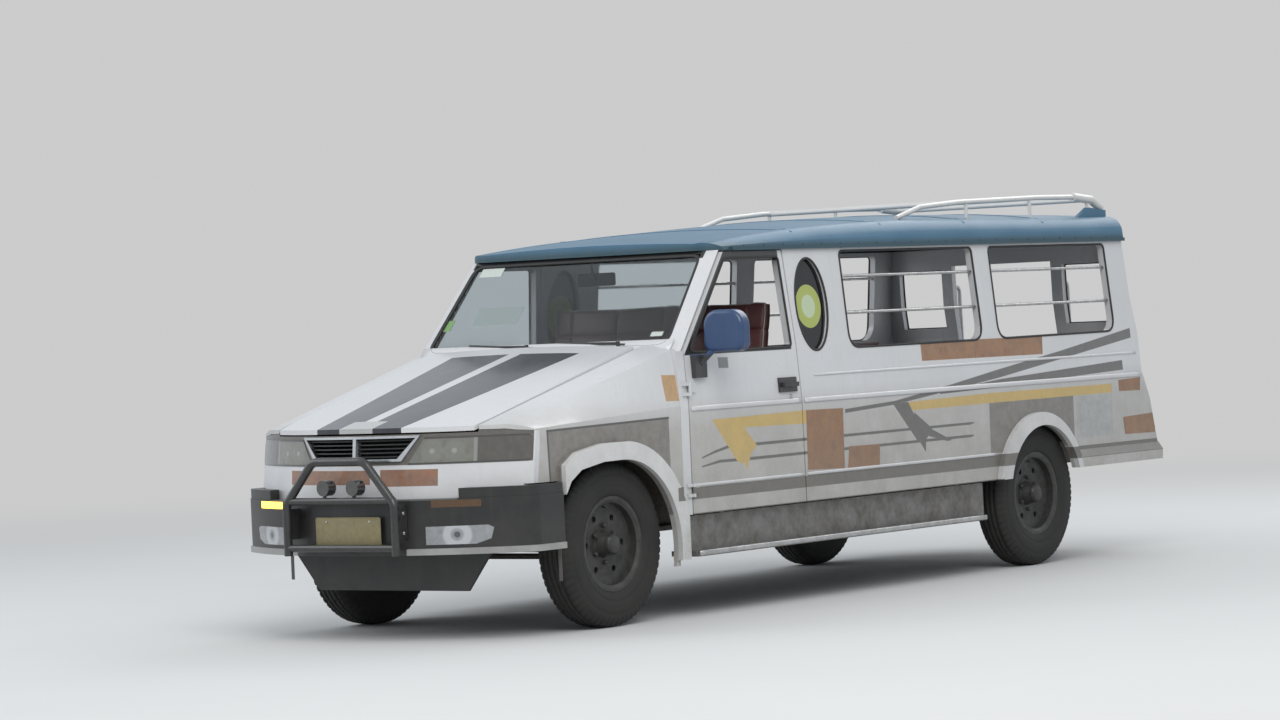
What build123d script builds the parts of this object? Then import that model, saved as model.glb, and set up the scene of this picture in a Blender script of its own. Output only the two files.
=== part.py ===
from build123d import *
import math
import os

# Jeepney with a long bonnet, two front doors, open side windows and a rear entrance.
# Millimetres. X runs to the vehicle's left, Y to its rear and Z up from the ground.
# Stations are lengths behind the nose datum, where the grille's lower edge stands at the middle.
# The finished pieces are shifted so that the origin lies on the ground under the middle of the
# overall box, which reaches out to the left mirror.

# Overall places along the vehicle
bull_bar_front = -140.0
rear_end = 6020.0
rear_foot = rear_end - 100.0
front_axle_station = 890.0
rear_axle_station = rear_end - 1370.0
middle_station = (bull_bar_front + rear_end) / 2

# Clearances
seat_gap = 0.3
running_gap = 0.3
panel_gap = 8.0

# Wheels and tyres
tyre_radius = 387.0
tyre_half_width = 92.0
rim_radius = 205.0
rim_half_width = 76.0
bead_half_width = 61.4
flange_radius = 222.0
wheel_plane = 705.0
spindle_radius = 20.0
spindle_tip = 785.0
hand_hole_count = 6
backing_plate_radius = 132.0

# Steering
kingpin_x = 600.0
steering_arm_x = kingpin_x
kingpin_radius = 14.0
boss_radius = 30.0
beam_height = 74.0
steering_arm_reach = 145.0
tie_rod_height = 318.0
tie_rod_radius = 14.0
ball_pin_radius = 9.0

# Body shell: height and half width of its outer face, from the sill to the gutter
gutter_height = 1738.0
body_side = (
    # height, half width
    (485.0, 838.0),
    (990.0, 840.0),
    (1245.0, 822.0),
    (gutter_height, 775.0),
)
wall = 40.0
floor_top = 662.0
floor_thickness = 22.0
door_floor_half_width = 788.0
rear_floor_half_width = 797.0

# Nose: every front piece follows one round plan, leaning back a little with height
nose_radius = 1310.0
nose_lean = 0.11
nose_low = 640.0
nose_high = 947.0
nose_half_width = 820.0
nose_rear = 330.0
nose_thickness = 26.0
lamp_low = 810.0
lamp_high = 930.0
lamp_depth = 56.0
grille_top_half = 352.0
grille_bottom_half = 262.0
grille_low = 826.0
grille_high = 942.0
apron_half_width = 785.0
apron_high = 706.0
nose_outline = (
    # width, height: the two raised corners meet the undersides of the fenders
    (-apron_half_width, nose_low), (apron_half_width, nose_low), (apron_half_width, apron_high),
    (nose_half_width, apron_high), (nose_half_width, 944.0), (700.0, 955.0), (604.0, 957.0),
    (601.0, nose_high), (-601.0, nose_high), (-604.0, 957.0), (-700.0, 955.0),
    (-nose_half_width, 944.0), (-nose_half_width, apron_high), (-apron_half_width, apron_high),
)
grille_outline = (
    (-grille_bottom_half, grille_low), (grille_bottom_half, grille_low),
    (grille_top_half, grille_high), (-grille_top_half, grille_high),
)
lamp_outline = (
    (grille_bottom_half + 26, lamp_low), (804, lamp_low), (814, lamp_low + 14), (814, lamp_high - 24),
    (796, lamp_high), (grille_top_half + 16, lamp_high),
)

# Bonnet and fenders
bonnet_rear = 1312.0
bonnet_thickness = 22.0
bonnet_half_width = 660.0
bonnet_axis = (1318.0, 1268.0)
bonnet_hinge_x = 480.0
bonnet_hinge_half = 20.0
scuttle_front = 1330.0
scuttle_high = 1288.0
fender_front = 130.0
fender_rear = 1384.0
fender_thickness = 18.0
shut_line_front = 600.0
shut_line_rear = 632.0
fender_front_section = (
    # width, height of the inner edge, shoulder, crease and foot
    (606.0, 968.0), (712.0, 952.0), (816.0, 941.0), (820.0, 250.0),
)
fender_rear_section = ((640.0, 1298.0), (795.0, 1268.0), (838.0, 1003.0), (838.0, 250.0))
front_arch_height = 352.0
front_arch_radius = 425.0
liner_radius = 480.0
flare_reach = 30.0
flare_band = 85.0

# Windshield plane, from its foot upwards
windshield_foot = (1411.0, 1275.0)
windshield_slope = 0.86383
windshield_rise = gutter_height + 7.0 - windshield_foot[1]
windshield_top = (windshield_foot[0] + windshield_slope * windshield_rise, gutter_height + 7.0)
pillar_depth = 34.0
pillar_bevel_width = 58.0
pillar_bevel_depth = 30.0
pillar_foot_half = 815.0
pillar_head_half = 760.0
windshield_height = math.dist(windshield_foot, windshield_top)
glass_bottom_half = 745.0
glass_top_half = 700.0
glass_sill = 22.0
glass_head = windshield_height - 30.0
glass_inset = 8.0
glass_thickness = 6.0

# Doors
door_front = 1455.0
door_rear_low = 2395.0
door_rear_top = 2355.0
door_low = 485.0
door_high = gutter_height - 10.0
door_swing_gap = 3.0
sill_height = 1252.0
door_hinge_axis = (850.0, 1452.0)
door_hinge_heights = (600.0, 1080.0)
hinge_pin_radius = 4.5
hinge_eye_radius = 8.0
hinge_half = 16.0
mirror_centre = (980.0, 1590.0, 1350.0)
mirror_width = 230.0
mirror_height = 200.0
mirror_depth = 80.0

# Sides of the passenger body
rear_profile = (
    # station, height of the rear wall's outer face, from the gutter down
    (rear_foot - 238.0, gutter_height - seat_gap), (rear_foot - 224.0, 1420.0),
    (rear_foot - 187.0, 1225.0), (rear_foot - 184.0, 1004.0), (rear_foot - 104.0, 850.0),
    (rear_foot - 44.0, 625.0), (rear_foot, 505.0),
)
side_outline = (
    (door_rear_low + panel_gap, door_low), (door_rear_low - 10 + panel_gap, sill_height),
    (door_rear_top + panel_gap + door_swing_gap, gutter_height), (rear_profile[0][0], gutter_height),
    *rear_profile[1:], (rear_axle_station, 505), (rear_axle_station, door_low),
)
window_sill = 1231.0
window_head = gutter_height - 20.0
window_front = 2862.0
window_rear = rear_foot - 433.0
window_pillar = window_front + 0.506 * (window_rear - window_front)
window_pillar_half = 80.0
side_windows = (
    # front foot, rear foot, rear head, front head, each as (station, height)
    (
        (window_front, window_sill), (window_pillar - window_pillar_half + 4, window_sill),
        (window_pillar - window_pillar_half - 6, window_head), (window_front - 2, window_head),
    ),
    (
        (window_pillar + window_pillar_half + 3, window_sill), (window_rear, window_sill + 5),
        (window_rear - 10, window_head), (window_pillar + window_pillar_half + 1, window_head),
    ),
)
window_bar_radius = 8.0
oval_centre = (2565.0, 1457.0)
oval_half_length = 136.0
oval_half_height = 229.0
entrance_half = 330.0
entrance_high = gutter_height - 98.0
rear_window_low = 1285.0
rear_window_high = gutter_height - 118.0

# Chassis
rail_x = 360.0
rail_width = 70.0
rail_low = 500.0
rail_high = 640.0
rail_wall = 8.0
rail_groove_front = 60.0
rail_groove_end = 40.0
cross_member_height = 64.0
rail_rear = rear_end - 220.0
cross_member_stations = (
    420.0, 1480.0, 2250.0, 3050.0, rear_axle_station - 750.0, rear_axle_station + 550.0, rail_rear - 100.0,
)
spring_pad_height = 437.0
front_spring_half = 500.0
rear_spring_half = 620.0
spring_width = 58.0
eye_radius = 18.0
engine_half_width = 280.0
engine_front = 520.0
engine_rear = 1250.0
engine_low = 450.0
engine_high = 900.0
propeller_shaft_radius = 36.0

# Bumper and bar
bumper_reach = 85.0
bumper_half_width = 865.0
bumper_depth = 60.0
bumper_lip = 8.0
bumper_low = 430.0
bumper_high = 655.0
bumper_rear = 430.0
apron_station = 225.0
apron_thickness = 16.0
apron_low = 220.0
apron_low_half = 450.0
apron_high_half = 620.0
bar_station = -120.0
bar_radius = 20.0
bar_tie_radius = 17.0
bar_cross_height = 655.0
bar_low_height = 440.0
indicator_outline = ((450, 616), (450, 648), (665, 648), (665, 616))
fog_outline = ((420, 448), (420, 530), (690, 532), (712, 520), (700, 470), (640, 448))

# Rear bumper and hitch plate
step_low = 505.0
step_high = 585.0
step_half = 700.0
hitch_spacing = 160.0
hitch_rise = 90.0
hitch_low = 455.0
hitch_hole_radius = 7.0

# Roof and rack
roof_front = windshield_top[0] - 27.0
roof_rear = rear_foot - 228.0
roof_corner = 160.0
roof_half_width = 786.0
roof_table = (
    # station, half width, then the rise of shoulder, side top and crown over the gutter
    (roof_front, 772.0, 14.0, 34.0, 52.0),
    (2400.0, 784.0, 34.0, 88.0, 110.0),
    (3400.0, roof_half_width, 52.0, 130.0, 165.0),
    (roof_rear, roof_half_width, 54.0, 134.0, 170.0),
)
roof_thickness = 24.0
gutter_low = door_high + 6.0
roof_end_wall = 40.0
rack_half = 640.0
rack_tube = 14.0
rack_end_radius = 24.0
rack_route = (
    # station ahead of the roof's rear edge, rise over the gutter
    (2080.0, 146.0), (1850.0, 202.0), (1470.0, 226.0), (660.0, 247.0), (290.0, 249.0), (95.0, 234.0),
    (-6.0, 186.0),
)
rack_legs = ((1400.0, 226.0), (750.0, 244.0), (140.0, 234.0))
fin_inner = 655.0
fin_outer = 680.0

# Seats and controls
driver_x = 380.0
column_foot = (1500.0, 985.0)
column_top = (1745.0, 1128.0)
steering_wheel_radius = 195.0
seat_height = 850.0
cushion_rear = 2330.0
front_cushion_thickness = 110.0
bench_height = 980.0
bench_cushion_thickness = 85.0
bench_front = 2560.0
bench_rear = rear_foot - 420.0


def prism_x(points, x_low, x_high):
    """A solid from (station, height) points, between two widths."""
    face = Plane.YZ.offset(x_low) * Polygon(*points, align=None)
    return extrude(face, amount=x_high - x_low, dir=(1, 0, 0))


def prism_y(points, y_low, y_high):
    """A solid from (width, height) points, between two stations."""
    face = Pos(0, y_low, 0) * (Plane.XZ * Polygon(*points, align=None))
    return extrude(face, amount=y_high - y_low, dir=(0, 1, 0))


def prism_z(points, z_low, z_high):
    """A solid from (width, station) points, between two heights."""
    face = Pos(0, 0, z_low) * Polygon(*points, align=None)
    return extrude(face, amount=z_high - z_low, dir=(0, 0, 1))


def block(x_low, x_high, y_low, y_high, z_low, z_high):
    """A box between its faces."""
    centre = Pos((x_low + x_high) / 2, (y_low + y_high) / 2, (z_low + z_high) / 2)
    return centre * Box(x_high - x_low, y_high - y_low, z_high - z_low)


def rod(start, end, radius):
    """A round bar between two points."""
    start = Vector(*start)
    axis = Vector(*end) - start
    return extrude(Plane(origin=start, z_dir=axis) * Circle(radius), amount=axis.length)


def bent_tube(points, bend, radius):
    """A round tube along straight runs with rounded corners."""
    path = FilletPolyline(*points, radius=bend)
    return sweep(Plane(origin=path @ 0, z_dir=path % 0) * Circle(radius), path=path)


def whole(shape):
    """One compound of all the solids of a shape or list."""
    return Compound(list(shape.solids()))


def both_sides(shape):
    """The shape on the left with its mirror image on the right."""
    left = whole(shape)
    return whole(left + mirror(left, about=Plane.YZ))


def on_right(shape):
    """The mirror image on the right side."""
    return mirror(whole(shape), about=Plane.YZ)


def half_width_at(height):
    """The body's outer half width at a height."""
    for (z_low, x_low), (z_high, x_high) in zip(body_side, body_side[1:]):
        if height <= z_high:
            return x_low + (x_high - x_low) * (height - z_low) / (z_high - z_low)
    return body_side[-1][1]


def body_skin(y_low, y_high, thickness):
    """The side wall's section, run between two stations."""
    outer = [(x, z) for z, x in body_side]
    inner = [(x - thickness, z) for z, x in reversed(body_side)]
    return prism_y(outer + inner, y_low, y_high)


def cabin_core(y_low, y_high):
    """The space between the two side walls."""
    right = [(x - wall, z) for z, x in body_side]
    left = [(-x, z) for x, z in reversed(right)]
    return prism_y(right + left, y_low, y_high)


def nose_ring(inset_front, inset_back, z_low, z_high):
    """A round, leaning shell that follows the nose, between two depths and two heights."""
    def radius_at(inset, height):
        return nose_radius - inset - nose_lean * (height - grille_low)
    profile = Polygon(
        (radius_at(inset_front, z_low), z_low),
        (radius_at(inset_front, z_high), z_high),
        (radius_at(inset_back, z_high), z_high),
        (radius_at(inset_back, z_low), z_low),
        align=None,
    )
    plane = Plane(origin=(0, nose_radius, 0), x_dir=(1, 0, 0), z_dir=(0, -1, 0))
    return revolve(plane * profile, axis=Axis((0, nose_radius, 0), (0, 0, 1)))


def nose_part(outline, inset_front, inset_back, rear=nose_rear):
    """The piece of the nose shell inside an outline seen from the front."""
    heights = [z for _, z in outline]
    ring = nose_ring(inset_front, inset_back, min(heights) - 1, max(heights) + 1)
    return ring & prism_y(outline, -400, rear)


def arch_cut(station, height, radius):
    """The round of a wheel arch, seen from the side."""
    return Pos(station, height) * Circle(radius)


def side_extrude(sketch, x_low, x_high):
    """A flat sketch of (station, height) run between two widths."""
    return extrude(Plane.YZ.offset(x_low) * sketch, amount=x_high - x_low, dir=(1, 0, 0))


# Outlines of the wheel arches, as (station, height) sketches
front_arch_mouth = Polygon(
    (448, -100), (448, 640), (490, 700), (570, 748), (740, 775),
    (front_axle_station, 777), (front_axle_station, -100), align=None,
)
front_opening = arch_cut(front_axle_station, front_arch_height, front_arch_radius) + front_arch_mouth
rear_opening = arch_cut(rear_axle_station - 18, 392, 362)
rear_flare = arch_cut(rear_axle_station - 50, 385, 440)


def tyre():
    """A tyre with a round-shouldered tread, about the wheel's axis."""
    half = [
        # across, radius
        (bead_half_width, rim_radius + seat_gap), (bead_half_width + 6, flange_radius + seat_gap),
        (rim_half_width, flange_radius + seat_gap), (tyre_half_width, 262), (tyre_half_width, 318),
        (tyre_half_width - 9, 356), (tyre_half_width - 28, tyre_radius - 4), (30, tyre_radius),
    ]
    other_half = [(-x, r) for x, r in reversed(half)]
    return revolve(Polygon(*half, *other_half, align=None), axis=Axis.X)


def rim():
    """A pressed steel rim with its disc, hub and brake drum, outside towards +X."""
    barrel_half = [
        # across, radius
        (rim_half_width - 14, rim_radius), (rim_half_width - 8, flange_radius),
        (rim_half_width, flange_radius), (rim_half_width, 206), (rim_half_width - 10, 192),
    ]
    other_half = [(-x, r) for x, r in reversed(barrel_half)]
    barrel = revolve(Polygon(*barrel_half, *other_half, align=None), axis=Axis.X)
    disc = revolve(
        Polygon(
            (2, 60), (14, 60), (22, 105), (22, 150), (30, 192.5), (18, 192.5), (10, 150), (10, 105),
            align=None,
        ),
        axis=Axis.X,
    )
    hub = revolve(
        Polygon(
            (-50, spindle_radius + running_gap), (88, spindle_radius + running_gap), (88, 40),
            (60, 48), (20, 62), (-2, 76), (-50, 76), align=None,
        ),
        axis=Axis.X,
    )
    drum = revolve(
        Polygon((-50, 60), (-50, 150), (-38, 158), (-2, 158), (8, 120), (8, 60), align=None),
        axis=Axis.X,
    )
    hand_holes = [
        Plane.YZ * Rot(0, 0, i * 360 / hand_hole_count) * Pos(136, 0, 26) * Cylinder(15, 40)
        for i in range(hand_hole_count)
    ]
    shape = barrel + disc + hub + drum
    return shape - hand_holes


def spindle():
    """Backing plate and stub axle on the left, with X as its axis."""
    plate = rod((wheel_plane - 66, 0, 0), (wheel_plane - 56, 0, 0), backing_plate_radius)
    stub = rod((wheel_plane - 70, 0, 0), (spindle_tip, 0, 0), spindle_radius)
    return plate + stub


def knuckle():
    """The left steering knuckle: fork, kingpin, stub axle, backing plate and arm."""
    lug_low = rod((kingpin_x, 0, -beam_height / 2 - 22), (kingpin_x, 0, -beam_height / 2 - 0.5), 32)
    lug_high = rod((kingpin_x, 0, beam_height / 2 + 0.5), (kingpin_x, 0, beam_height / 2 + 22), 32)
    pin = rod((kingpin_x, 0, -beam_height / 2 - 26), (kingpin_x, 0, beam_height / 2 + 26), kingpin_radius)
    web_height = beam_height / 2 + 22
    web = block(wheel_plane - 72, wheel_plane - 60, -34, 34, -web_height, web_height)
    cheeks = [
        block(kingpin_x, wheel_plane - 60, -30, 30, z, z + 21.5)
        for z in (-beam_height / 2 - 22, beam_height / 2 + 0.5)
    ]
    arm_z = tie_rod_height - tyre_radius
    arm = prism_z(
        [
            (kingpin_x - 14, 20), (kingpin_x + 20, 20), (steering_arm_x + 16, steering_arm_reach),
            (steering_arm_x - 16, steering_arm_reach),
        ],
        arm_z + 16, arm_z + 30,
    )
    end = (steering_arm_x, steering_arm_reach)
    arm_eye = rod((*end, arm_z + 16), (*end, arm_z + 30), 18)
    ball_pin = rod((*end, arm_z - 20), (*end, arm_z + 18), ball_pin_radius)
    shape = lug_low + lug_high + pin + web + cheeks + spindle() + arm + arm_eye + ball_pin
    return Pos(0, front_axle_station, tyre_radius) * whole(shape)


def tie_rod():
    """The rod between the two steering arms, with an eye round each ball pin."""
    y = front_axle_station + steering_arm_reach
    eyes = [
        rod((x, y, tie_rod_height - 13), (x, y, tie_rod_height + 13), 20)
        for x in (-steering_arm_x, steering_arm_x)
    ]
    bar = rod((-steering_arm_x, y, tie_rod_height), (steering_arm_x, y, tie_rod_height), tie_rod_radius)
    holes = [
        rod((x, y, tie_rod_height - 20), (x, y, tie_rod_height + 20), ball_pin_radius + running_gap)
        for x in (-steering_arm_x, steering_arm_x)
    ]
    return bar + eyes - holes


def front_axle():
    """A dropped beam with an eye for each kingpin and a pad for each spring."""
    half = beam_height / 2
    z = tyre_radius
    beam = block(-kingpin_x, kingpin_x, -14, 14, z - 30, z + 30)
    flanges = [block(-kingpin_x + 34, kingpin_x - 34, -30, 30, low, low + 14) for low in (z - 37, z + 23)]
    pads = [block(x - 50, x + 50, -55, 55, z + 30, spring_pad_height) for x in (-rail_x, rail_x)]
    bosses = [rod((x, 0, z - half), (x, 0, z + half), boss_radius) for x in (-kingpin_x, kingpin_x)]
    bores = [
        rod((x, 0, z - half - 5), (x, 0, z + half + 5), kingpin_radius + running_gap)
        for x in (-kingpin_x, kingpin_x)
    ]
    shape = beam + flanges + pads + bosses - bores
    return Pos(0, front_axle_station, 0) * whole(shape)


def rear_axle():
    """Axle with its differential, a stub axle at each end and the propeller shaft."""
    tube_radius = spring_pad_height - tyre_radius
    half = [
        # width, radius
        (0, 148), (34, 148), (60, 120), (112, 66), (150, tube_radius),
        (wheel_plane - 66, tube_radius), (wheel_plane - 66, backing_plate_radius),
        (wheel_plane - 56, backing_plate_radius), (wheel_plane - 56, spindle_radius),
        (spindle_tip, spindle_radius),
    ]
    other_half = [(-x, r) for x, r in reversed(half)]
    profile = Polygon(*half, (spindle_tip, 0), (-spindle_tip, 0), *other_half, align=None)
    axle = revolve(profile, axis=Axis.X)
    nose = rod((0, -40, 0), (0, -190, 10), 62)
    shape = Pos(0, rear_axle_station, tyre_radius) * whole(axle + nose)
    shaft_front = (0, engine_rear + 1.5, 500)
    shaft_rear = (0, rear_axle_station - 170, tyre_radius + 9)
    return shape + rod(shaft_front, shaft_rear, propeller_shaft_radius)


def engine_block():
    """Engine and gearbox as one plain block between the rails."""
    return block(
        -engine_half_width, engine_half_width, engine_front, engine_rear, engine_low, engine_high,
    )


def leaf_spring(station, half_length):
    """One spring pack with an eye at each end, lying on its axle pad."""
    low = spring_pad_height + seat_gap
    eye_z = rail_low - 12 - eye_radius - seat_gap
    pack = prism_x(
        [
            (station - half_length, eye_z + 4), (station - 55, low), (station + 55, low),
            (station + half_length, eye_z + 4), (station + half_length, eye_z + 14),
            (station + 60, low + 40), (station - 60, low + 40), (station - half_length, eye_z + 14),
        ],
        rail_x - spring_width / 2, rail_x + spring_width / 2,
    )
    eyes = [
        rod(
            (rail_x - spring_width / 2, station + end, eye_z),
            (rail_x + spring_width / 2, station + end, eye_z), eye_radius,
        )
        for end in (-half_length, half_length)
    ]
    return pack + eyes


def leaf_springs():
    front = leaf_spring(front_axle_station, front_spring_half)
    rear = leaf_spring(rear_axle_station, rear_spring_half)
    return both_sides(front) + both_sides(rear)


def bumper_plan(inset):
    """The bumper's plan, round across the nose and straight along its two ends."""
    width = 2 * (bumper_half_width - inset)
    front = Pos(0, nose_radius) * Circle(nose_radius + bumper_reach - inset)
    strip = Pos(0, (bumper_rear - 500) / 2) * Rectangle(width, bumper_rear + 500)
    plan = front & strip
    corners = [v for v in plan.vertices() if v.Y < bumper_rear - 1]
    return fillet(corners, 90 - inset * 0.8)


def rail_front_station():
    """Where the bumper's back stands at the outer face of a chassis rail."""
    radius = nose_radius + bumper_reach - bumper_depth
    outer = rail_x + rail_width / 2
    return nose_radius - math.sqrt(radius ** 2 - outer ** 2) + seat_gap


def chassis_frame():
    """Two rails with spring hangers, and the cross members and engine mounts that sit between them."""
    half = rail_width / 2
    web = rail_x + half - rail_wall
    rail = block(rail_x - half, rail_x + half, rail_front_station(), rail_rear, rail_low, rail_high)
    groove = block(
        rail_x - half, web, rail_groove_front, rail_rear - rail_groove_end,
        rail_low + rail_wall, rail_high - rail_wall,
    )
    rail = rail - groove
    hangers = []
    for station, reach in ((front_axle_station, front_spring_half), (rear_axle_station, rear_spring_half)):
        for end in (-reach, reach):
            y = station + end
            hangers.append(block(rail_x - half, rail_x + half, y - 22, y + 22, rail_low - 12, rail_low))
    mount = block(
        engine_half_width + seat_gap, web - seat_gap, 820, 880, rail_high - 60, rail_high - 10,
    )
    top = rail_high - rail_wall - seat_gap
    members = [
        block(-web + seat_gap, web - seat_gap, y - 30, y + 30, top - cross_member_height, top)
        for y in cross_member_stations
    ]
    rails = both_sides(rail + hangers)
    return Compound(children=[*rails.solids(), *both_sides(mount).solids(), *members])


def front_bumper():
    """Bumper shell with raised ends, a lower strip and the apron under it."""
    shell = extrude(bumper_plan(0) - bumper_plan(bumper_depth), amount=bumper_high - bumper_low)
    shape = Pos(0, 0, bumper_low) * shell
    raised = Pos(0, 0, bumper_high) * extrude(bumper_plan(4) - bumper_plan(bumper_depth), amount=45)
    shape += raised - block(-570, 570, -400, 600, bumper_high - 1, bumper_high + 60)
    strip = Pos(0, 0, bumper_low - 28) * extrude(bumper_plan(-bumper_lip) - bumper_plan(40), amount=28)
    shape += strip
    shelf = Pos(0, 0, bumper_low) * extrude(bumper_plan(30), amount=14)
    rear = apron_station + apron_thickness
    shape += shelf & block(-900, 900, -400, rear, bumper_low, bumper_low + 14)
    shape += prism_y(
        [
            (-apron_low_half, apron_low), (apron_low_half, apron_low),
            (apron_high_half, bumper_low + 2), (-apron_high_half, bumper_low + 2),
        ],
        apron_station, rear,
    )
    shape -= both_sides(face_block(fog_outline, 60)) + both_sides(face_block(indicator_outline, 45))
    return shape


def face_block(outline, depth):
    """A left lamp's block behind an outline, flush with the bumper's face."""
    outer = nose_radius + bumper_reach
    ring = Pos(0, nose_radius, 540) * (Cylinder(outer + 1, 300) - Cylinder(outer - depth, 320))
    return ring & prism_y(outline, -400, 400)


def front_lamps():
    """Fog lamps and indicators in the bumper, and two small round lamps on the bull bar."""
    fog = face_block(fog_outline, 50)
    indicator = face_block(indicator_outline, 36)
    cup = rod((88, bar_station - 14, 715), (88, bar_station + 40, 715), 36)
    foot = rod((88, bar_station, bar_cross_height), (88, bar_station, 715), 9)
    tie_ends = [(x, bar_station, bar_cross_height) for x in (0, 200)]
    lamp = cup + foot - rod(*tie_ends, bar_tie_radius + seat_gap)
    return both_sides(fog) + both_sides(indicator) + both_sides(lamp)


def bull_bar():
    """Tube hoop with two uprights, two cross tubes and brackets to the bumper."""
    y = bar_station
    hoop = bent_tube(
        [
            (-325, y, 405), (-325, y, 640), (-155, y, 834), (155, y, 834), (325, y, 640), (325, y, 405),
        ],
        60, bar_radius,
    )
    ties = [
        rod((-325, y, z), (325, y, z), bar_tie_radius) for z in (bar_low_height, bar_cross_height)
    ]
    face = nose_radius - math.sqrt((nose_radius + bumper_reach) ** 2 - 312 ** 2)
    bracket = block(312, 338, y, face - seat_gap, 480, 620)
    return hoop + ties + both_sides(bracket)


def grow(outline, amount):
    """An outline moved outwards from its own middle by about one amount."""
    centre_x = sum(x for x, _ in outline) / len(outline)
    centre_z = sum(z for _, z in outline) / len(outline)
    return [
        (x + math.copysign(amount, x - centre_x), z + math.copysign(amount, z - centre_z))
        for x, z in outline
    ]


def nose_panel():
    """The panel round the lamps and the grille, with the apron under them."""
    shape = nose_part(nose_outline, 0, nose_thickness)
    shape -= nose_part(grow(grille_outline, seat_gap), -40, 120)
    lamp_hole = nose_part(grow(lamp_outline, seat_gap), -40, 200)
    shape -= lamp_hole
    shape -= on_right(lamp_hole)
    return shape


def grille():
    """Chrome frame with a centre bar in front of thin cross bars."""
    frame = nose_part(grille_outline, -12, 30)
    inner = (
        (-grille_bottom_half + 22, grille_low + 12), (grille_bottom_half - 22, grille_low + 12),
        (grille_top_half - 22, grille_high - 12), (-grille_top_half + 22, grille_high - 12),
    )
    frame -= nose_part(inner, -40, 120)
    low = grille_low + 6
    high = grille_high - 6
    shape = frame + nose_part(((-9, low), (9, low), (9, high), (-9, high)), -10, 30)
    bars = 5
    rise = grille_high - grille_low
    for i in range(bars):
        z = grille_low + 12 + (i + 0.5) * (rise - 24) / bars
        half = grille_bottom_half + (grille_top_half - grille_bottom_half) * (z - grille_low) / rise
        half -= 12
        shape += nose_part(((-half, z - 3), (half, z - 3), (half, z + 3), (-half, z + 3)), 4, 24)
    return shape


def headlamps():
    """Wraparound lamp units, flush with the nose."""
    return both_sides(nose_part(lamp_outline, -3, lamp_depth))


def bonnet_section(centre_z, edge_z):
    """A crowned strip across the vehicle, as a flat face in the (width, height) plane."""
    half = bonnet_half_width
    under = edge_z - bonnet_thickness
    top = ThreePointArc((-half, edge_z), (0, centre_z), (half, edge_z))
    low = ThreePointArc((half, under), (0, centre_z - bonnet_thickness), (-half, under))
    left_end = Line((half, edge_z), (half, under))
    right_end = Line((-half, under), (-half, edge_z))
    return Plane.XZ * make_face([top, left_end, low, right_end])


def bonnet_hinge():
    """The bonnet's half of its left hinge: a web under the sheet and an eye round the pin."""
    y, z = bonnet_axis
    low = bonnet_hinge_x - bonnet_hinge_half
    high = bonnet_hinge_x + bonnet_hinge_half
    web = block(low, high, y - 30, bonnet_rear, z - 6, z + 17)
    eye = rod((low, y, z), (high, y, z), hinge_eye_radius)
    hole = rod((low - 1, y, z), (high + 1, y, z), hinge_pin_radius + running_gap)
    return web + eye - hole


def bonnet_hinge_lugs():
    """The scuttle's half of the bonnet's left hinge: two lugs with a pin between them."""
    y, z = bonnet_axis
    reach = bonnet_hinge_half + seat_gap
    shape = rod((bonnet_hinge_x - reach - 8, y, z), (bonnet_hinge_x + reach + 8, y, z), hinge_pin_radius)
    for low in (bonnet_hinge_x - reach - 16, bonnet_hinge_x + reach):
        shape += rod((low, y, z), (low + 16, y, z), 7)
        shape += block(low, low + 16, y, scuttle_front + 5, z - 7, z + 4)
    return shape


def bonnet():
    """The bonnet panel, crowned and sloping, with its front edge over the nose panel."""
    sheet = loft([
        Pos(0, -60, 0) * bonnet_section(960, 908),
        Pos(0, 1350, 0) * bonnet_section(1318, 1302),
    ])
    plan = prism_z(
        [
            (-shut_line_front + 30, -100), (shut_line_front - 30, -100), (shut_line_front - 8, 190),
            (shut_line_front, 260), (shut_line_rear, bonnet_rear), (-shut_line_rear, bonnet_rear),
            (-shut_line_front, 260), (-shut_line_front + 8, 190),
        ],
        600, 1500,
    )
    nose = Pos(0, nose_radius, 1050) * Cylinder(nose_radius - 10, 1200)
    front = nose & block(-900, 900, -200, bonnet_rear + 20, 600, 1500)
    return (sheet & plan & front) + both_sides(bonnet_hinge())


def fender_section(inner, shoulder, crease, foot):
    """Closed section of one fender: top, shoulder, crease and side."""
    t = fender_thickness
    points = [
        inner, shoulder, crease, foot, (foot[0] - t, foot[1]), (crease[0] - t, crease[1] - t * 0.8),
        (shoulder[0] - t * 0.6, shoulder[1] - t), (inner[0], inner[1] - t),
    ]
    return Plane.XZ * Polygon(*points, align=None)


def front_fenders():
    """Fenders with a flared lip round each wheel, running down to a flap behind it."""
    skin_loft = loft(
        [
            Pos(0, fender_front, 0) * fender_section(*fender_front_section),
            Pos(0, fender_rear, 0) * fender_section(*fender_rear_section),
        ],
        ruled=True,
    )
    side = prism_x(
        [
            (fender_front, 705), (445, 705), (445, 250), (1335, 250), (1335, 485), (fender_rear, 485),
            (fender_rear, 1330), (fender_front, 1330),
        ],
        500, 900,
    )
    panel = skin_loft & side
    band = offset(front_opening, flare_band, kind=Kind.ARC) - front_opening
    lip = side_extrude(band, 815, 838 + flare_reach)
    window = prism_x([(450, 278), (1500, 278), (1500, 1000), (450, 1000)], 700, 900)
    lip = lip & window & prism_x([(450, 250), (1383, 250), (1383, 1000), (450, 1000)], 700, 900)
    shape = panel + lip
    shape -= side_extrude(front_opening, 700, 900)
    beyond_nose = Pos(0, nose_radius, 1000) * (Cylinder(2000, 800) - Cylinder(nose_radius - 12, 900))
    shape -= beyond_nose & block(500, 900, -400, 500, 200, 1200)
    rear = nose_rear + seat_gap
    shape -= nose_part(grow(nose_outline, seat_gap), -400, nose_thickness + seat_gap, rear)
    shape -= nose_part(grow(lamp_outline, 2), -40, lamp_depth + 20)
    return both_sides(shape)


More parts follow.
